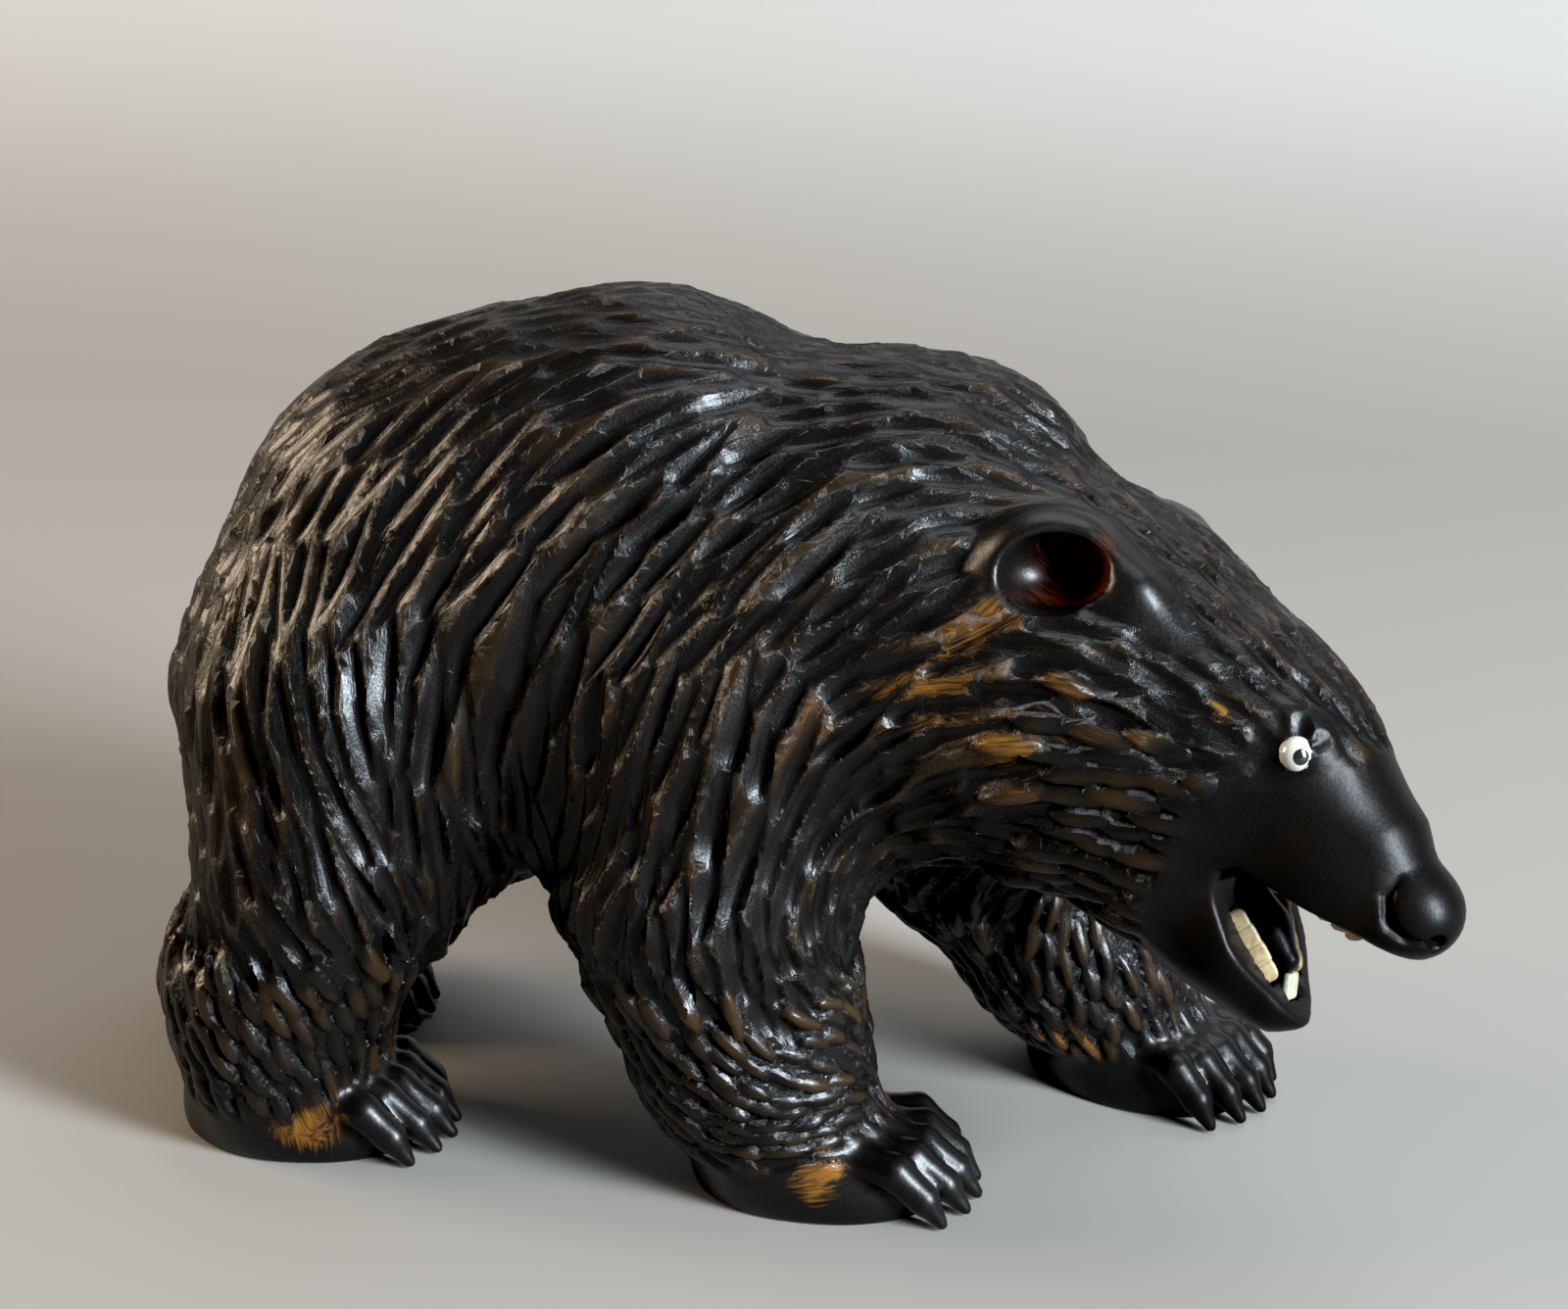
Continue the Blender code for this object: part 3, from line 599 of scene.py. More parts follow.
def sampled(field, low, counts):
    """The field at the corners of the small cubes, but only near its surface, and which cubes are near it."""
    rough_counts = -(-counts // ROUGH)
    middles = low + (np.indices(rough_counts).reshape(3, -1).T + 0.5) * ROUGH * GRAIN
    close = (np.abs(field(middles)) < ROUGH * GRAIN * 1.2).reshape(rough_counts)
    cubes = close.repeat(ROUGH, 0).repeat(ROUGH, 1).repeat(ROUGH, 2)
    wanted = np.zeros(np.array(cubes.shape) + 1, bool)
    for x, y, z in CORNERS:
        wanted[x:x + cubes.shape[0], y:y + cubes.shape[1], z:z + cubes.shape[2]] |= cubes
    values = np.ones(wanted.shape)
    places = np.argwhere(wanted)
    values[wanted] = field(low + places * GRAIN)
    return values, cubes


def surface_net(field, low, high):
    """Vertices and four-cornered faces of the field's surface."""
    counts = np.ceil((high - low) / GRAIN).astype(int)
    values, cubes = sampled(field, low, counts)
    inner = values < 0
    sides = sum(inner[x:x + cubes.shape[0], y:y + cubes.shape[1], z:z + cubes.shape[2]].astype(np.int8)
                for x, y, z in CORNERS)
    cells = np.argwhere(cubes & (sides > 0) & (sides < 8))
    corner = np.stack([values[tuple((cells + step).T)] for step in CORNERS], axis=1)
    total = np.zeros((len(cells), 3))
    count = np.zeros(len(cells))
    for first in range(8):
        for second in range(first + 1, 8):
            if np.abs(CORNERS[first] - CORNERS[second]).sum() == 1:
                crossed = (corner[:, first] < 0) != (corner[:, second] < 0)
                span = np.where(crossed, corner[:, first] - corner[:, second], 1.0)
                share = np.where(crossed, corner[:, first] / span, 0.0)
                place = CORNERS[first] + share[:, None] * (CORNERS[second] - CORNERS[first])
                total += np.where(crossed[:, None], place, 0)
                count += crossed
    points = low + (cells + total / count[:, None]) * GRAIN
    number = np.full(cubes.shape, -1, np.int32)
    number[tuple(cells.T)] = np.arange(len(cells))
    faces = []
    for axis in range(3):
        one, two = (axis + 1) % 3, (axis + 2) % 3
        ahead = np.flatnonzero(CORNERS @ np.eye(3)[axis] * 10 == CORNERS.sum(axis=1) * 10)
        tip = [index for index in ahead if CORNERS[index].sum() == 1][0]
        crossed = np.flatnonzero((corner[:, 0] < 0) != (corner[:, tip] < 0))
        here = cells[crossed]
        back_one, back_two = here.copy(), here.copy()
        back_one[:, one] -= 1
        back_two[:, two] -= 1
        both = back_one.copy()
        both[:, two] -= 1
        square = np.stack([number[tuple(each.T)] for each in (here, back_one, both, back_two)], axis=1)
        turned = corner[crossed, 0] > 0
        square[turned] = square[turned][:, ::-1]
        faces.append(square[(square >= 0).all(axis=1)])
    return points, np.concatenate(faces)


# %% Cut the skin and let it settle
SPACE_LOW = np.array([-54.0, -30.0, -1.5])
SPACE_HIGH = np.array([64.0, 26.0, 74.0])
skin, faces = surface_net(bear, SPACE_LOW, SPACE_HIGH)
skin, _ = settle(bear, skin, rounds=1)
_, normals = settle(form, skin, rounds=0)
print("skin:", len(skin), "vertices,", len(faces), "faces")

# %% [markdown]
# ## How the fur lies
#
# The carver follows the hair: along the back towards the rump, down the flanks, forward round the thighs and
# the lower forelegs, back from the face. A few guides say where the hair runs which way and how long the
# strokes are there, and every other place takes a blend of the guides near it.

# %% Guides
# Place, direction, and the strokes' length, width and depth in millimetres
FUR = [
    ((-8, 0, 68), (-1, 0, -0.1), 13, 3.2, 0.75),
    ((-30, 0, 60), (-0.8, 0, -0.6), 13, 3.2, 0.85),
    ((-44, 0, 38), (-0.1, 0, -1), 13, 3.2, 1.0),
    ((12, 0, 64), (-1, 0, -0.1), 10, 2.9, 0.75),
    ((24, 0, 58), (-1, 0, 0.3), 10, 2.8, 0.75),
    ((20, 0, 30), (-0.3, 0, -0.9), 8, 2.7, 1.1),
    ((-8, 0, 24), (-1, 0, 0), 10, 3.0, 1.0),
]
# These are given for the left side, and mirrored for the right
FLANK_FUR = [
    ((-15, 14, 56), (-0.7, 0.3, -0.75), 17, 3.8, 1.35),
    ((-12, 17, 42), (-0.15, 0, -1), 22, 4.2, 1.6),
    ((-12, 15, 30), (0.2, -0.2, -1), 17, 3.7, 1.5),
    ((-30, 16, 40), (0.3, 0, -0.93), 16, 3.7, 1.4),
    ((-28, 18, 26), (0.35, 0, -0.93), 14, 3.5, 1.35),
    ((-42, 10, 28), (0.1, 0, -1), 12, 3.2, 1.2),
    ((-34, 18, 12), (0.45, 0, -0.85), 8.5, 2.7, 1.0),
    ((8, 15, 54), (-0.7, 0.3, -0.7), 14, 3.6, 1.3),
    ((5, 18, 38), (-0.2, 0, -1), 17, 3.8, 1.5),
    ((-4, 15, 30), (-0.5, 0, -0.85), 15, 3.5, 1.45),
    ((4, 18, 20), (0.25, 0, -1), 10, 3.0, 1.2),
    ((5, 18, 13), (0.8, 0, -0.45), 7.5, 2.5, 0.95),
    ((12, 14, 16), (0.95, 0, -0.1), 7.0, 2.4, 0.95),
    ((9, 16, 8), (1.0, 0, 0.15), 7.0, 2.4, 0.9),
    ((-4, 12, 14), (0.3, 0, -0.9), 9, 2.8, 1.1),
    ((24, 14, 50), (-0.75, 0.2, -0.6), 14, 3.6, 1.3),
    ((20, 15, 36), (-0.6, 0, -0.8), 14, 3.5, 1.4),
    ((30, 10, 10), (0.4, 0, -0.9), 7.5, 2.6, 1.0),
]
HEAD_FUR = [
    ((-8, 0, 13), (-1, 0, 0.05), 10, 2.8, 0.8),
    ((6, 0, 10), (-1, 0, 0.05), 10, 2.5, 0.75),
    ((4, 9, 2), (-1, 0, -0.25), 10, 3.0, 1.0),
    ((-6, 11, 0), (-1, 0, -0.4), 10, 3.1, 1.2),
    ((6, 7, -9), (-1, 0, -0.3), 9.5, 3.1, 1.3),
    ((-4, 8, -13), (-1, 0, -0.35), 9.5, 3.2, 1.4),
]

# %% Which way the hair runs


def hair_guides():
    """Every place and direction of the fur in the bear's units, and the strokes' sizes there."""
    rows = [(np.array(place), np.array(way), sizes) for place, way, *sizes in FUR]
    for side in (-1, 1):
        mirror = np.array([1, side, 1])
        rows += [(place * mirror, way * mirror, sizes) for place, way, *sizes in FLANK_FUR]
        rows += [(on_head(*(place * mirror)), (way * mirror) @ HEAD, sizes)
                 for place, way, *sizes in HEAD_FUR]
    places, ways, sizes = (np.array(column, float) for column in zip(*rows))
    sizes = sizes * MILLIMETRE
    return places, ways / np.linalg.norm(ways, axis=1)[:, None], sizes


GUIDES = hair_guides()
print("guides:", len(GUIDES[0]))


def hair_at(points, normals):
    """The way that the hair runs at points, laid along the surface, and the strokes' sizes. A guide counts
    for less with the fourth power of its distance."""
    places, ways, sizes = GUIDES
    apart = np.linalg.norm(points[:, None] - places[None], axis=2)
    weight = 1 / (apart + 2.0) ** 4
    blend = weight @ ways
    blend = blend - normals * (blend * normals).sum(axis=1)[:, None]
    blend = blend / np.maximum(np.linalg.norm(blend, axis=1), 1e-9)[:, None]
    return blend, weight @ sizes / weight.sum(axis=1)[:, None]

# %% Where the wood carries fur


def ramp(values, low, high):
    """0 below low, 1 above high, and smooth between."""
    share = np.clip((values - low) / (high - low), 0, 1)
    return share * share * (3 - 2 * share)


# How high the feet's smooth rims are, where the fur ends on the cheek, and how much further forward it runs
# on the brow
SOLE_RIM = 3.6
FUR_ENDS = (8.5, 10.0)
BROW_RUN = 6.5


def front(points):
    """0 on the body and 1 on the head, by how far forward a point is."""
    return ramp(points[:, 0], 30, 36)


def furred(points):
    """1 where the wood carries fur, down to 0 on muzzle, jaw, ears, eyes, toes and the rims of the soles."""
    forward, _, up = in_head(points)
    brow = BROW_RUN * ramp(up, 3.5, 6.5)
    share = 1 - ramp(forward, FUR_ENDS[0] + brow, FUR_ENDS[1] + brow) * front(points)
    for side in (-1, 1):
        share = share * ramp(np.linalg.norm(points - eye_middle(side), axis=1), 3.0, 4.0)
    share = share * ramp(joined(ears(), points, 0.8), 0.3, 1.3)
    for leg in LEGS.values():
        share = share * ramp(joined(toes(leg), points, 0.5), 0.2, 1.2)
    return share * ramp(points[:, 2], SOLE_RIM, SOLE_RIM + 2)


def beaded(points):
    """1 on cheeks, throat and lower legs, where the strokes leave round beads of hair instead of hollows."""
    forward, _, up = in_head(points)
    cheeks = ramp(-up, -4, 1) * ramp(forward, -14, -7) * ramp(points[:, 0], 22, 30)
    return np.maximum(cheeks, ramp(-points[:, 2], -25, -13))


fur = furred(skin)
beads = beaded(skin)
ways, sizes = hair_at(skin, normals)
print("furred share of the skin:", round(float((fur > 0.5).mean()), 2))

# %% [markdown]
# ## Strokes of the gouge
#
# Each lock of hair is one stroke. Strokes are set down in a mixed order wherever they don't crowd an earlier
# one. A stroke is a long hollow: it enters the wood gradually, gets deeper, and stops short. Where two
# strokes meet, the lower surface wins, which leaves the sharp ridge that catches the light. On the cheeks,
# the throat and the lower legs the carver cuts round a lock instead, which leaves a round bead of hair with a
# dark gap beside it.

# %% Set the strokes down
SEED = 11
TRIES = 40000
# How close two strokes may stand, as shares of their length and width
SPREAD_ALONG = 0.50
SPREAD_ACROSS = 0.70
# How much a hollow's wall leans, so that its wide side faces the window
STEEPER = 0.42
WINDOW_WAY = np.array([0.9, 0.0, 0.44])
# How much one stroke differs from the next in its direction, length, width, depth and bend
OWN_WAY, OWN_LENGTH, OWN_WIDTH, OWN_DEPTH, OWN_BEND = 0.14, 0.22, 0.14, 0.25, 0.35


def set_strokes(points, normals, ways, sizes, fur):
    """Places for strokes, each with its own small differences of length, width, depth, bend and deepest
    place."""
    rng = np.random.default_rng(SEED)
    order = rng.permutation(np.flatnonzero(fur > 0.3))[:TRIES]
    kept = np.empty((len(order), 3))
    chosen = []
    for index in order:
        gap = kept[:len(chosen)] - points[index]
        along = gap @ ways[index]
        across = (gap * gap).sum(axis=1) - along * along
        length, width = sizes[index, :2] * (SPREAD_ALONG, SPREAD_ACROSS)
        if not chosen or ((along / length) ** 2 + across / width ** 2).min() > 1:
            kept[len(chosen)] = points[index]
            chosen.append(index)
    chosen = np.array(chosen)
    own = rng.uniform(-1, 1, (len(chosen), 6))
    faces = normals[chosen]
    way = ways[chosen] + OWN_WAY * own[:, 4:5] * np.cross(faces, ways[chosen])
    way = way / np.linalg.norm(way, axis=1)[:, None]
    cross = np.cross(faces, way)
    return {"place": points[chosen], "way": way, "face": faces, "cross": cross,
            "lean": -STEEPER * cross @ WINDOW_WAY, "bead": beads[chosen] + 0.2 * own[:, 2] > 0.5,
            "length": sizes[chosen, 0] * (1.15 + OWN_LENGTH * own[:, 0]),
            "width": sizes[chosen, 1] * (1.08 + OWN_WIDTH * own[:, 1]),
            "depth": sizes[chosen, 2] * (1 + OWN_DEPTH * own[:, 2]),
            "bend": OWN_BEND * own[:, 3], "deepest": 0.66 + 0.14 * own[:, 4],
            "tone": 0.5 + 0.5 * own[:, 5]}


strokes = set_strokes(skin, normals, ways, sizes, fur)
print("strokes:", len(strokes["place"]))

# %% One hollow and one bead of hair
# Half of a bead's length and width, as shares of the stroke's length and half width
TUFT_LENGTH = 0.36
TUFT_WIDTH = 0.76


def scoop(along, across, deepest, lean):
    """A hollow's depth as a share: it grows as a power of the way along up to its deepest place, then rises
    again as a quarter of an ellipse. Across the stroke it is a parabola that leans to one side, so that one
    wall is steep and the other a wide slope."""
    across = across + lean * np.clip(1 - across ** 2, 0, 1)
    before = np.clip(along / deepest, 0, 1) ** 0.9
    after = np.sqrt(np.clip(1 - ((along - deepest) / (1 - deepest)) ** 2, 0, 1))
    return np.where(along < deepest, before, after) - across ** 2


def tuft(along, across):
    """A bead's height as a share: half an ellipsoid, narrower than a hollow so that dark gaps are left, and
    lower at the end where the hair starts."""
    dome = np.sqrt(np.clip(1 - ((along - 0.5) / TUFT_LENGTH) ** 2 - (across / TUFT_WIDTH) ** 2, 0, 1))
    return dome * (0.55 + 0.6 * np.clip(along, 0, 1))

# %% Carve them
# The side of the cubes that points are carved in, and how deep the gaps between beads are for their height
CUBE = 5.0
BEAD_FLOOR = 1.0
# How far off a stroke's plane a place may be, and the deepest that a hollow goes for the depth given there
STROKE_REACH = 2.2
DEEPEST = 1.3


def cubes_of(points, size):
    """Splits points into cubes of space: gives, for each cube, which points lie in it."""
    keys = np.floor(points / size).astype(np.int64) + 200
    keys = (keys[:, 0] * 1000 + keys[:, 1]) * 1000 + keys[:, 2]
    order = np.argsort(keys, kind="stable")
    return np.split(order, np.flatnonzero(np.diff(keys[order])) + 1)


def stroke_heights(points, normals):
    """How far the strokes raise or lower points, and for the stroke that made each place: how far along and
    across it the place is in millimetres, and the stroke's tone."""
    heights = np.zeros(len(points))
    traces = np.zeros((len(points), 3))
    reach = strokes["length"].max() * 0.62
    for part in cubes_of(points, CUBE):
        middle = points[part].mean(axis=0)
        radius = np.linalg.norm(points[part] - middle, axis=1).max()
        near = np.flatnonzero(np.linalg.norm(strokes["place"] - middle, axis=1) < radius + reach)
        if not len(near):
            continue
        own = {name: values[near] for name, values in strokes.items()}
        gap = points[part, None] - own["place"][None]
        along = (gap * own["way"]).sum(axis=2) / own["length"] + 0.5
        side = (gap * own["cross"]).sum(axis=2) - own["bend"] * 4 * (along - 0.5) ** 2
        off = (gap * own["face"]).sum(axis=2)
        across = 2 * side / own["width"]
        there = (np.abs(off) < STROKE_REACH) & (normals[part] @ own["face"].T > 0.2)
        there = there & (along > 0) & (along < 1)
        depth = -own["depth"] * scoop(along, across, own["deepest"], own["lean"])
        hollow = np.where(there & ~own["bead"], depth, 0.0)
        bead = np.where(there & own["bead"], own["depth"] * tuft(along, across), 0.0)
        rows = np.arange(len(part))
        first = np.where(bead.max(axis=1) > 0, bead.argmax(axis=1), hollow.argmin(axis=1))
        low = np.minimum(hollow.min(axis=1), 0)
        high = bead.max(axis=1) - BEAD_FLOOR * sizes[part, 2] * beads[part]
        heights[part] = np.maximum(low, -DEEPEST * sizes[part, 2]) + high
        traces[part] = np.stack([along[rows, first] * own["length"][first] / MILLIMETRE,
                                 side[rows, first] / MILLIMETRE, own["tone"][first]], axis=1)
    return heights, traces


# The ridges stand a little above the form, by this share of the strokes' depth
RISE = 0.42
heights, traces = stroke_heights(skin, normals)
heights = (heights + RISE * sizes[:, 2]) * fur
carved = skin + normals * heights[:, None]
print("strokes reach from", (np.array([heights.min(), heights.max()]) / MILLIMETRE).round(2), "mm")

# %% [markdown]
# ## The carved block as a mesh
#
# The even net has more faces than the block needs. Flat places can do with few, and ridges need many, so a
# Decimate modifier joins faces where that changes the shape least. What the finish needs to know about each
# place, such as its depth and how worn it is, is kept in attributes of the mesh.

# %% Meshes and pieces


def new_mesh(name, points, faces):
    """A mesh from points in metres and rows of corner numbers."""
    mesh = bpy.data.meshes.new(name)
    corners = faces.shape[1]
    mesh.vertices.add(len(points))
    mesh.vertices.foreach_set("co", np.ascontiguousarray(points, np.float32).ravel())
    mesh.loops.add(faces.size)
    mesh.loops.foreach_set("vertex_index", np.ascontiguousarray(faces, np.int32).ravel())
    mesh.polygons.add(len(faces))
    mesh.polygons.foreach_set("loop_start", np.arange(0, faces.size, corners, dtype=np.int32))
    mesh.update(calc_edges=True)
    mesh.validate()
    return mesh


def new_piece(name, mesh):
    piece = bpy.data.objects.new(name, mesh)
    bpy.context.scene.collection.objects.link(piece)
    mesh.shade_smooth()
    return piece


def keep_on_mesh(mesh, name, values):
    """Keeps one number, or three, for each vertex."""
    kind = "FLOAT" if values.ndim == 1 else "FLOAT_VECTOR"
    attribute = mesh.attributes.new(name, kind, "POINT")
    attribute.data.foreach_set("value" if values.ndim == 1 else "vector",
                               np.ascontiguousarray(values, np.float32).ravel())


def finished(piece):
    """Replaces a piece's mesh with what its modifiers make of it."""
    graph = bpy.context.evaluated_depsgraph_get()
    mesh = bpy.data.meshes.new_from_object(piece.evaluated_get(graph))
    piece.modifiers.clear()
    piece.data = mesh
    return piece


def to_metres(points):
    return (points + OFFSET) * UNIT

# %% Where the stain is worn
# Where hands have rubbed it through: a place, how far the patch reaches, and how strong it is
WORN = [
    ((-17, 17, 46), 9, 0.45), ((-4, 17, 36), 9, 0.5), ((20, 15, 46), 8, 0.6), ((27, 13, 42), 7, 0.6),
    ((9, 17, 44), 8, 0.4), ((-38, 12, 46), 8, 0.45), ((-27, 19, 30), 7, 0.3), ((3, 20, 24), 7, 0.25),
    ((-29.5, 17, 4.0), 3.0, 1.5), ((11.5, 17.5, 4.0), 3.0, 1.5), ((28, 6, 7), 3.6, 0.9),
]
# The same on the head, in its own axes
WORN_HEAD = [
    ((-2, 10, 1), 5, 0.40), ((-8, 11, -3), 6, 0.45), ((5, 8, 3), 4, 0.3), ((7.0, 8.2, 5.0), 1.2, 1.3),
    ((16, 5.5, 3.0), 1.2, 1.0), ((-6.9, 8.0, 8.0), 3.0, 1.8),
]


def worn_at(points):
    """How worn the stain is: patches that fade with the square of the distance, on both sides."""
    total = np.zeros(len(points))
    for side in (-1, 1):
        mirror = np.array([1, side, 1])
        patches = [(place * mirror, reach, share) for place, reach, share in WORN]
        patches += [(on_head(*(place * mirror)), reach, share) for place, reach, share in WORN_HEAD]
        for place, reach, share in patches:
            total += share * np.exp(-((points - place) ** 2).sum(axis=1) / reach ** 2)
    return np.clip(total, 0, 1.5)


def dull_at(points):
    """1 on the muzzle and the jaw, where the wax has gone dull, and 0 elsewhere."""
    forward, _, _ = in_head(points)
    return ramp(forward, 9.0, 14.0) * front(points)

# %% Make the block
BLOCK_TRIANGLES = 196000
# Faces that meet at more than this many degrees keep a sharp ridge
RIDGE_ANGLE = 50
block_mesh = new_mesh("carved_block", to_metres(carved), faces)
# How high a place stands in the relief. The finish makes the ridges brown, which is wear, and keeps the
# hollows black, which is partly painted shade.
keep_on_mesh(block_mesh, "ridge", np.clip(0.62 + 0.7 * heights / sizes[:, 2], 0, 1))
keep_on_mesh(block_mesh, "stroke", traces)
keep_on_mesh(block_mesh, "polish", 1 - fur)
keep_on_mesh(block_mesh, "worn", worn_at(skin))
keep_on_mesh(block_mesh, "dull", dull_at(skin))
carved_block = new_piece("carved_block", block_mesh)
thin = carved_block.modifiers.new("thin", "DECIMATE")
thin.ratio = BLOCK_TRIANGLES / (2 * len(faces))
thin.use_collapse_triangulate = True
finished(carved_block).data.shade_smooth()
carved_block.data.set_sharp_from_angle(angle=math.radians(RIDGE_ANGLE))
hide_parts("bear")
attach(carved_block, "root")
print("block:", len(carved_block.data.polygons), "triangles")

# %% [markdown]
# ## Shader sums as sums
#
# A finish is a small calculation for each point of the surface. Written as nodes one by one it is hard to
# read, so one small class wraps a socket, and + - * on it add the Math nodes.

# %% A socket in sums


class Value:
    """One output of a material's nodes."""

    def __init__(self, finish, socket):
        self.finish, self.socket = finish, socket

    def sum(self, operation, *others):
        return self.finish.node("Math", {"operation": operation}, dict(enumerate((self, *others))))[0]

    def __add__(self, other):
        return self.sum("ADD", other)

    def __mul__(self, other):
        return self.sum("MULTIPLY", other)

    def __sub__(self, other):
        return self.sum("SUBTRACT", other)

    def __rsub__(self, other):
        return self.finish.node("Math", {"operation": "SUBTRACT"}, {0: other, 1: self})[0]

    __radd__ = __add__
    __rmul__ = __mul__

    def between(self, low, high):
        """0 at low and below, 1 at high and above."""
        return self.finish.node("MapRange", {"interpolation_type": "SMOOTHSTEP"},
                                {"Value": self, "From Min": low, "From Max": high})[0]

# %% A material under construction


class Finish:
    """A material under construction."""

    def __init__(self, name):
        self.material = bpy.data.materials.new(name)
        self.material.use_nodes = True
        self.tree = self.material.node_tree
        self.surface = self.tree.nodes["Principled BSDF"]

    def put(self, socket, value):
        if isinstance(value, Value):
            self.tree.links.new(value.socket, socket)
        elif hasattr(value, "__len__") and len(value) == 3 and socket.type == "RGBA":
            socket.default_value = (*value, 1)
        else:
            socket.default_value = value

    def node(self, kind, settings=None, sockets=None):
        """Adds a node of that type, sets its settings, then fills its sockets. Gives its outputs."""
        made = self.tree.nodes.new("ShaderNode" + kind)
        for name, value in (settings or {}).items():
            setattr(made, name, value)
        for name, value in (sockets or {}).items():
            self.put(made.inputs[name], value)
        return [Value(self, socket) for socket in made.outputs]

    def number(self, name):
        """What the mesh keeps under that name, as one number."""
        return self.node("Attribute", {"attribute_name": name})[2]

    def vector(self, name):
        """What the mesh keeps under that name, as three numbers."""
        return self.node("Attribute", {"attribute_name": name})[1]

    def place(self):
        """Where a point is on the piece."""
        return self.node("TexCoord")[3]

    def shader(self):
        return Value(self, self.surface.outputs["BSDF"])

    def scaled(self, vector, scale):
        return self.node("Mapping", None, {"Vector": vector, "Scale": scale})[0]

    def noise(self, vector, scale, detail=2.0):
        return self.node("TexNoise", None, {"Vector": vector, "Scale": scale, "Detail": detail})[0]

    def mixed(self, share, first, second):
        """A colour between two."""
        return self.node("Mix", {"data_type": "RGBA"}, {0: share, 6: first, 7: second})[2]

    def set(self, **values):
        """Sets the shader's own sockets, each by its name in small letters."""
        for name, value in values.items():
            self.put(self.surface.inputs[name.replace("_", " ").title().replace("Ior", "IOR")], value)


# %% [markdown]
# ## Stained and waxed wood
#
# The stain is nearly black, and the hollows are kept black, which is partly painted shade in the gaps between
# the strokes. Handling has rubbed it brown on the ridges, to amber where fingers hold the flank, the neck and
# the paws, and the wood shows red inside the ears. The wax shines, but fine drag lines from the gouge and
# crumbs of wax break the shine up. On the muzzle and the jaw it has gone dull. How strongly a shader mirrors
# is one number for all of it, so the dull wax is a second shader, and the mesh says where it takes over.

# %% The wood
BLACK_STAIN = (0.0016, 0.0013, 0.0011)
BROWN_STAIN = (0.0135, 0.0072, 0.0026)
RUBBED_AMBER = (0.085, 0.034, 0.0048)
RED_BROWN = (0.042, 0.010, 0.0040)
# How strongly the wax mirrors the lights, and where it has gone dull
WAX_SHINE = 0.18
DULL_SHINE = 0.055


def stained_wood():
    """The stain goes from black to brown with ridge, tone and cloud: brown on the ridges is wear, and the
    black kept in the hollows is partly painted shade. It goes on to the worn-through colour where worn, drag,
    ridge, tone and cloud add up to enough. The relief is crumbs and drag lines."""
    finish = Finish("stained_wood")
    place = finish.place()
    ridge = finish.number("ridge")
    polish = finish.number("polish")
    worn = finish.number("worn")
    stroke = finish.vector("stroke")
    tone = finish.node("SeparateXYZ", None, {0: stroke})[2]
    clouds = finish.noise(place, 90.0)
    crumbs = finish.noise(place, 2600.0, 3.0)
    drag = finish.noise(finish.scaled(stroke, (0.30, 3.2, 9.0)), 1.0, 3.0)
    # Brown comes up on the ridges as wear, and black stays in the hollows, partly as painted shade.
    ridge_wear_and_hollow_shade = (ridge * 0.9 + tone * 0.35 + clouds * 0.6).between(0.95, 1.60)
    brown = finish.mixed(ridge_wear_and_hollow_shade * (1 - polish * 0.9), BLACK_STAIN, BROWN_STAIN)
    through = worn * 0.55 + ridge * 0.35 + drag * 0.9 + tone * 0.45 + clouds * 0.5
    high = finish.node("SeparateXYZ", None, {0: place})[2].between(0.02, 0.04)
    warm = finish.mixed(polish * high, RUBBED_AMBER, RED_BROWN)
    colour = finish.mixed(through.between(1.58, 2.05) * worn.between(0.05, 0.45), brown, warm)
    finish.set(base_color=colour, roughness=0.18 + crumbs * 0.24 + polish * 0.05,
               specular_ior_level=WAX_SHINE)
    relief = crumbs * (0.5 - polish * 0.25) + drag * 1.1 * (1 - polish)
    bump = finish.node("Bump", None, {"Strength": 0.6, "Distance": 0.00014, "Height": relief})[0]
    finish.put(finish.surface.inputs["Normal"], bump)
    dull_wax = finish.node("BsdfPrincipled", None, {
        "Base Color": brown, "Roughness": 0.26 + crumbs * 0.16,
        "Specular IOR Level": DULL_SHINE, "Normal": bump,
    })[0]
    both = finish.node("MixShader", None, {0: finish.number("dull"), 1: finish.shader(), 2: dull_wax})
    finish.put(finish.tree.nodes["Material Output"].inputs["Surface"], both[0])
    return finish.material


def give(piece, material):
    """Gives a piece its one material."""
    piece.data.materials.clear()
    piece.data.materials.append(material)


give(carved_block, stained_wood())
print("the wood's finish has", len(carved_block.active_material.node_tree.nodes), "nodes")

# %% [markdown]
# ## Eyes and teeth
#
# An eye is a bead of milk glass with a black pupil inside. A ball laid out in rings about the pupil keeps the
# pupil's edge round. A strip of teeth is a thin plate of bone, and comes after it.

# %% Rings into a mesh


def closed_grid(rows, columns):
    """Faces of a grid that is closed the short way round, with a point at each end: the first and last rows
    of the grid are single vertices, and the rest are rings of that many columns."""
    ring = 1 + (np.arange(rows - 2) * columns)[:, None] + np.arange(columns)[None]
    along = np.roll(ring, -1, axis=1)
    body = np.stack([ring[:-1], along[:-1], along[1:], ring[1:]], axis=2).reshape(-1, 4)
    last = 1 + (rows - 2) * columns
    first_cap = np.stack([np.zeros(columns), along[0], ring[0]], axis=1)
    last_cap = np.stack([np.full(columns, last), ring[-1], along[-1]], axis=1)
    return body.astype(int), first_cap.astype(int), last_cap.astype(int)


def mesh_of_rings(name, rings, first, last):
    """A closed mesh from rings of points in metres, with one point before the first and after the last."""
    columns = rings.shape[1]
    points = np.concatenate([[first], rings.reshape(-1, 3), [last]])
    body, start, end = closed_grid(len(rings) + 2, columns)
    mesh = bpy.data.meshes.new(name)
    mesh.from_pydata(points.tolist(), [], body.tolist() + start.tolist() + end.tolist())
    mesh.update()
    return mesh

# %% Eyes
EYE_RINGS, EYE_SPOKES = 40, 64
# The pupil's radius as a share of the bead's, and which way it looks: forward, outward and up
PUPIL = 0.46
PUPIL_WAY = (0.57, 0.71, 0.27)


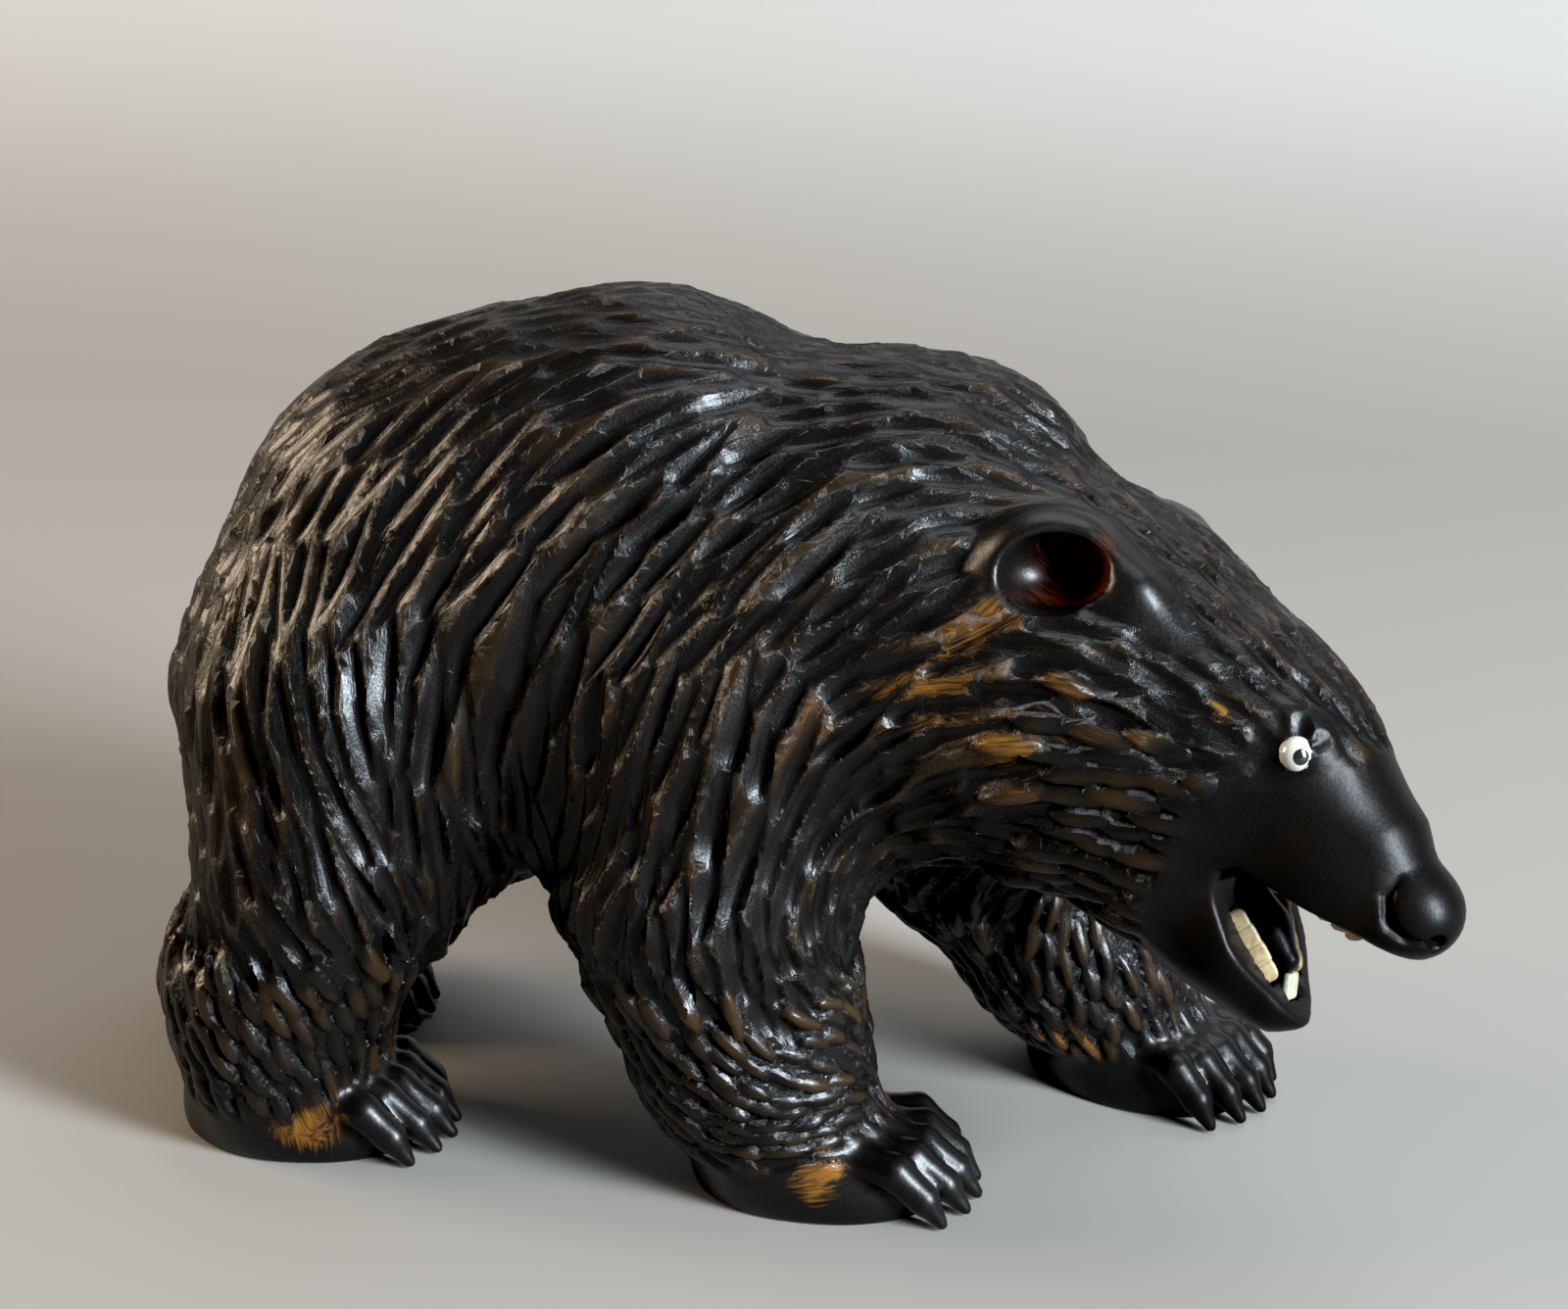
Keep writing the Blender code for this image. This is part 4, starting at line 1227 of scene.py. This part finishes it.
def eye_bead(name, side):
    """A ball in rings about the pupil's direction. A vertex keeps how far it is from the pupil's middle, as
    a share of the bead's radius."""
    out = unit(np.array([PUPIL_WAY[0], PUPIL_WAY[1] * side, PUPIL_WAY[2]]) @ HEAD)
    first = unit(np.cross(out, HEAD[2]))
    second = np.cross(out, first)
    low, high = (np.array(corner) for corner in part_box(name))
    middle, radius = (low + high) / 2, (high - low).max() / 2
    down = np.linspace(0, math.pi, EYE_RINGS)[1:-1]
    round_ = np.arange(EYE_SPOKES) * 2 * math.pi / EYE_SPOKES
    flat = first[None] * np.cos(round_)[:, None] + second[None] * np.sin(round_)[:, None]
    rings = out[None, None] * np.cos(down)[:, None, None] + flat[None] * np.sin(down)[:, None, None]
    mesh = mesh_of_rings("bead_" + name, middle + radius * rings, middle + radius * out,
                         middle - radius * out)
    away = np.concatenate([[0], np.repeat(np.where(down < math.pi / 2, np.sin(down), 2), EYE_SPOKES), [2]])
    keep_on_mesh(mesh, "from_pupil", away)
    piece = new_piece("bead_" + name, mesh)
    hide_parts(name)
    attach(piece, "root")
    return piece


def milk_glass():
    """White glass with a black pupil whose rim is a little soft, under a clear gloss."""
    finish = Finish("milk_glass")
    away = finish.number("from_pupil")
    cloud = finish.noise(finish.place(), 500.0)
    white = finish.mixed(cloud, (0.26, 0.26, 0.24), (0.20, 0.20, 0.18))
    colour = finish.mixed(away.between(PUPIL - 0.03, PUPIL + 0.03), (0.004, 0.004, 0.004), white)
    finish.set(base_color=colour, roughness=0.12 + 0.04 * cloud)
    return finish.material


glass = milk_glass()
for name, side in (("eye_right", -1), ("eye_left", 1)):
    give(eye_bead(name, side), glass)
print("beads:", EYE_RINGS, "rings of", EYE_SPOKES)

# %% [markdown]
# ## Teeth
#
# A strip of teeth is a thin plate of bone whose edge is cut into small points. It is lofted: one outline of
# the plate's thickness is carried along the strip, and its upper edge follows the row of points.

# %% Strips of bone
STRIP_STEPS = 150
STRIP_SPOKES = 20
# How wide one tooth is on the upper strips, on the lower ones and on the front piece
UPPER_TOOTH, LOWER_TOOTH, FRONT_TOOTH_HALF = 0.0019, 0.0025, 0.0015


def strip_of_teeth(name, strip, show, pitch, notch):
    """Carries a rounded rectangle along a strip. The edge's height falls from each point to the next by a
    share notch, and a fine groove parts the teeth."""
    start, length, axes = strip
    share = np.linspace(0, 1, STRIP_STEPS)
    count = max(2, round(length * UNIT / pitch))
    within = (share * count) % 1.0
    number = np.minimum((share * count).astype(int), count - 1)
    own = np.random.default_rng(SEED + len(name)).uniform(-1, 1, count)
    rise = 1 - notch * np.abs(within - 0.35) / 0.65 + 0.14 * own[number]
    groove = np.exp(-(np.minimum(within, 1 - within) / 0.06) ** 2)
    ends = np.sqrt(np.clip(1 - (2 * share - 1) ** 12, 0.05, 1))
    top = show / UNIT * rise * ends
    half = TOOTH_THICKNESS / UNIT / 2 * (1 - 0.22 * groove) * ends
    turn = np.arange(STRIP_SPOKES) * 2 * math.pi / STRIP_SPOKES
    square = np.sign([np.cos(turn), np.sin(turn)]) * np.abs([np.cos(turn), np.sin(turn)]) ** 0.35
    low = -TOOTH_ROOT / UNIT
    height = low + (top[:, None] - low) * (square[1][None] + 1) / 2
    through = half[:, None] * square[0][None] * (1 - 0.35 * (square[1][None] + 1) / 2)
    place = np.stack(np.broadcast_arrays(share[:, None] * length, height, through), axis=2)
    rings = to_metres(start + place @ axes)
    mesh = mesh_of_rings("bone_" + name, rings, rings[0].mean(axis=0), rings[-1].mean(axis=0))
    piece = new_piece("bone_" + name, mesh)
    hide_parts(name)
    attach(piece, "root")
    return piece


def bone(name, colour, stain):
    """Bone is ivory, and darker and yellower in its pores and in clouds."""
    finish = Finish(name)
    place = finish.place()
    pores = finish.noise(place, 1500.0, 3.0)
    clouds = finish.noise(place, 260.0)
    tint = finish.mixed((pores * 0.6 + clouds * 0.7).between(0.45, 0.85), colour, stain)
    finish.set(base_color=tint, roughness=0.34 + 0.2 * pores)
    relief = finish.node("Bump", None, {"Strength": 0.4, "Distance": 0.0001, "Height": pores})[0]
    finish.put(finish.surface.inputs["Normal"], relief)
    return finish.material


ivory = bone("bone", (0.20, 0.150, 0.080), (0.12, 0.078, 0.034))
pale = bone("pale_bone", (0.20, 0.21, 0.140), (0.14, 0.14, 0.085))
for side, name in ((-1, "right"), (1, "left")):
    give(strip_of_teeth("upper_teeth_" + name, upper_frame(side), UPPER_TEETH_SHOW, UPPER_TOOTH, 0.35), ivory)
    give(strip_of_teeth("lower_teeth_" + name, lower_frame(side), LOWER_TEETH_SHOW, LOWER_TOOTH, 0.12), ivory)
give(strip_of_teeth("lower_front_teeth", front_frame(), LOWER_TEETH_SHOW, FRONT_TOOTH_HALF, 0.15), pale)

# %% [markdown]
# ## Floor, light and camera
#
# A plain pale floor that bends up into a paler wall has no edge to distract from the bear. A tall window of
# cool light on the right, a little in front, draws the ridges. Light from above evens the floor, and a weaker
# warm lamp on the left opens the shadows. A large light is soft, because it shines round what stands in its
# way.

# %% Floor
FLOOR_DEPTH = 0.30
FLOOR_WIDTH = 3.0
BEND = 0.30
WALL_PALE = 0.06


def floor_sheet():
    """A profile that runs back along the floor, bends up on a quarter circle and rises, drawn out
    sideways."""
    turn = np.linspace(0, math.pi / 2, 24)
    back = np.concatenate([[-1.5], FLOOR_DEPTH + BEND * np.sin(turn), [FLOOR_DEPTH + BEND]])
    rise = np.concatenate([[0.0], BEND * (1 - np.cos(turn)), [1.6]])
    across = np.array([-FLOOR_WIDTH, FLOOR_WIDTH])
    points = np.stack(np.broadcast_arrays(across[:, None], back[None], rise[None]), axis=2).reshape(-1, 3)
    row = np.arange(len(back) - 1)
    faces = np.stack([row, row + len(back), row + len(back) + 1, row + 1], axis=1)
    return new_mesh("floor", points, faces)


floor = new_piece("floor", floor_sheet())
plain = Finish("pale_floor")
height = plain.node("SeparateXYZ", None, {0: plain.place()})[2]
paper = plain.mixed(height.between(0.0, WALL_PALE), (0.145, 0.136, 0.125), (0.20, 0.195, 0.188))
plain.set(base_color=paper, roughness=0.7, specular_ior_level=0.1)
give(floor, plain.material)
print("the wall rises", FLOOR_DEPTH + BEND, "m behind the bear")

# %% Lights
# Where each light stands, its width and height, its power and its colour
LIGHTS = {
    "window": ((0.85, -0.45, 0.40), (0.22, 0.60), 78.0, (0.80, 0.91, 1.0)),
    "skylight": ((0.10, 0.30, 1.15), (0.9, 0.7), 11.0, (0.90, 0.95, 1.0)),
    "lamp": ((-0.90, -0.05, 0.42), (0.4, 0.4), 19.0, (1.0, 0.78, 0.55)),
}
# How high above the floor they aim, and how much light comes from all round
LIGHT_AIM = 0.04
WORLD_LIGHT = 0.16


def add_light(name, place, sides, power, colour):
    """A rectangle of light that faces the bear's middle."""
    light = bpy.data.lights.new(name, "AREA")
    light.shape = "RECTANGLE"
    light.size, light.size_y = sides
    light.energy, light.color = power, colour
    holder = bpy.data.objects.new(name, light)
    bpy.context.scene.collection.objects.link(holder)
    holder.location = place
    aim = -holder.location
    aim.z += LIGHT_AIM
    holder.rotation_euler = aim.to_track_quat("-Z", "Y").to_euler()


for name, values in LIGHTS.items():
    add_light(name, *values)
world = bpy.data.worlds.new("studio")
bpy.context.scene.world = world
world.use_nodes = True
world.node_tree.nodes["Background"].inputs["Color"].default_value = (0.93, 0.95, 1.0, 1)
world.node_tree.nodes["Background"].inputs["Strength"].default_value = WORLD_LIGHT
print("lights:", ", ".join(LIGHTS))

# %% Camera
# What is darker than the black point counts as black
BLACK_POINT = 0.0045
view = bpy.context.scene.view_settings
view.view_transform = "Standard"
view.use_curve_mapping = True
view.curve_mapping.black_level = (BLACK_POINT,) * 3
view.curve_mapping.update()
AZIMUTH, ELEVATION = math.radians(12), math.radians(21)
CAMERA_DISTANCE = 280 * UNIT
LENS = 75
TARGET = to_metres(np.array([0.0, 25.0, 30.0]))


def add_camera():
    """A camera that looks at the target from its azimuth and elevation."""
    camera = bpy.data.cameras.new("camera")
    camera.lens, camera.sensor_width = LENS, 36
    camera.clip_start, camera.clip_end = 0.01, 10
    holder = bpy.data.objects.new("camera", camera)
    bpy.context.scene.collection.objects.link(holder)
    back = np.array([math.sin(AZIMUTH) * math.cos(ELEVATION), -math.cos(AZIMUTH) * math.cos(ELEVATION),
                     math.sin(ELEVATION)])
    holder.location = TARGET + back * CAMERA_DISTANCE
    holder.rotation_mode = "QUATERNION"
    holder.rotation_quaternion = Vector(-back).to_track_quat("-Z", "Y")
    return holder


bpy.context.scene.camera = add_camera()
print("camera at", [round(number, 3) for number in bpy.context.scene.camera.location])
